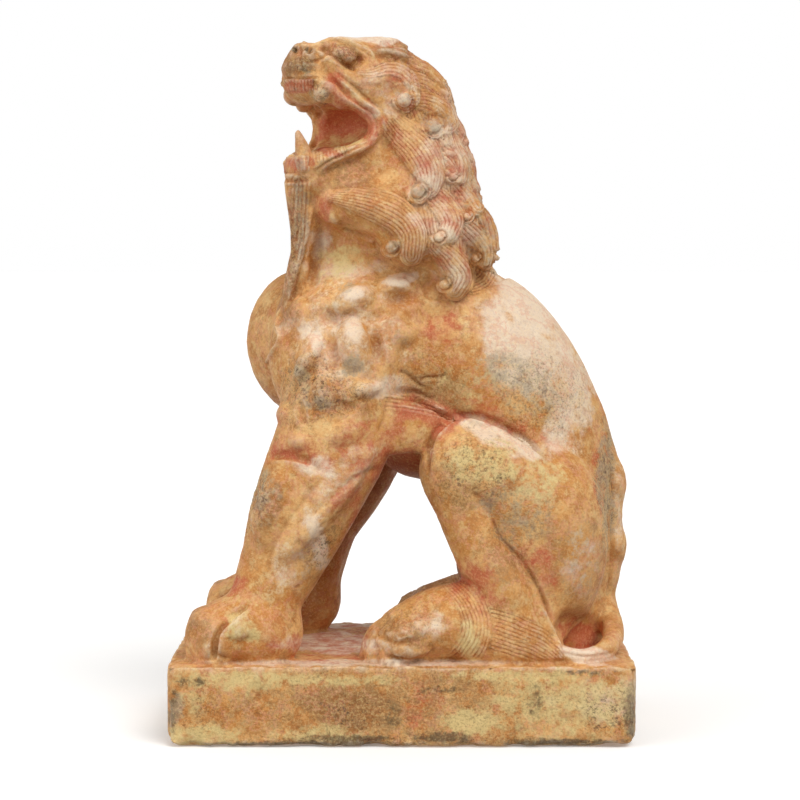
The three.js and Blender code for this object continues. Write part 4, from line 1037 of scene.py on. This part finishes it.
def light_studio():
    """A white room, lit from above and from both sides of the camera, dimmer from below."""
    world = bpy.data.worlds.new("studio")
    world.use_nodes = True
    tree = world.node_tree
    way = add_node(tree, "ShaderNodeTexCoord").outputs["Generated"]
    up = add_node(tree, "ShaderNodeSeparateXYZ", None, {0: way}).outputs["Z"]
    soft = add_node(tree, "ShaderNodeMapRange", None,
                    {"Value": up, "From Min": -0.4, "From Max": 0.4, "To Min": 0.36,
                     "To Max": 0.52})
    seen = add_node(tree, "ShaderNodeLightPath").outputs["Is Camera Ray"]
    strength = add_node(tree, "ShaderNodeMath", {"operation": "MAXIMUM"},
                        {0: soft.outputs[0], 1: seen})
    background = tree.nodes["Background"]
    background.inputs["Color"].default_value = (1, 1, 1, 1)
    tree.links.new(strength.outputs[0], background.inputs["Strength"])
    bpy.context.scene.world = world
    bpy.context.scene.view_settings.view_transform = "Standard"
    for name, energy, spread, from_where in SUNS:
        sun = bpy.data.lights.new(name, "SUN")
        sun.energy = energy
        sun.angle = math.radians(spread)
        lamp = bpy.data.objects.new(name, sun)
        lamp.rotation_euler = Vector(from_where).to_track_quat("Z", "Y").to_euler()
        bpy.context.scene.collection.objects.link(lamp)

    bm = bmesh.new()
    bmesh.ops.create_grid(bm, x_segments=1, y_segments=1, size=FLOOR_SIZE,
                          matrix=Matrix.Translation((0, 0, -FLOOR_DOWN)))
    mesh = bpy.data.meshes.new("floor")
    bm.to_mesh(mesh)
    bm.free()
    floor = bpy.data.objects.new("floor", mesh)
    floor.visible_diffuse = False  # it throws no light up onto the stone
    bpy.context.scene.collection.objects.link(floor)
    pale = bpy.data.materials.new("pale_floor")
    pale.use_nodes = True
    shader = pale.node_tree.nodes["Principled BSDF"]
    for name, value in (("Base Color", linear("fbfaf8")), ("Roughness", 0.9),
                        ("Emission Color", (1, 1, 1, 1)), ("Emission Strength", 0.14)):
        shader.inputs[name].default_value = value
    mesh.materials.append(pale)


place_camera()
block = build_block()
stone = Stone(block.data)
sculpt(stone)
triangles = sum(len(p.vertices) - 2 for p in block.data.polygons)
thin = block.modifiers.new("fewer faces", "DECIMATE")
thin.ratio = min(1.0, MOST_TRIANGLES / triangles)
thin.use_collapse_triangulate = True
settle(block)
stain(Stone(block.data))
block.data.polygons.foreach_set("use_smooth", [True] * len(block.data.polygons))
block.data.materials.clear()
block.data.materials.append(worn_marble())
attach(block, "root")
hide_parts(NODE)
light_studio()
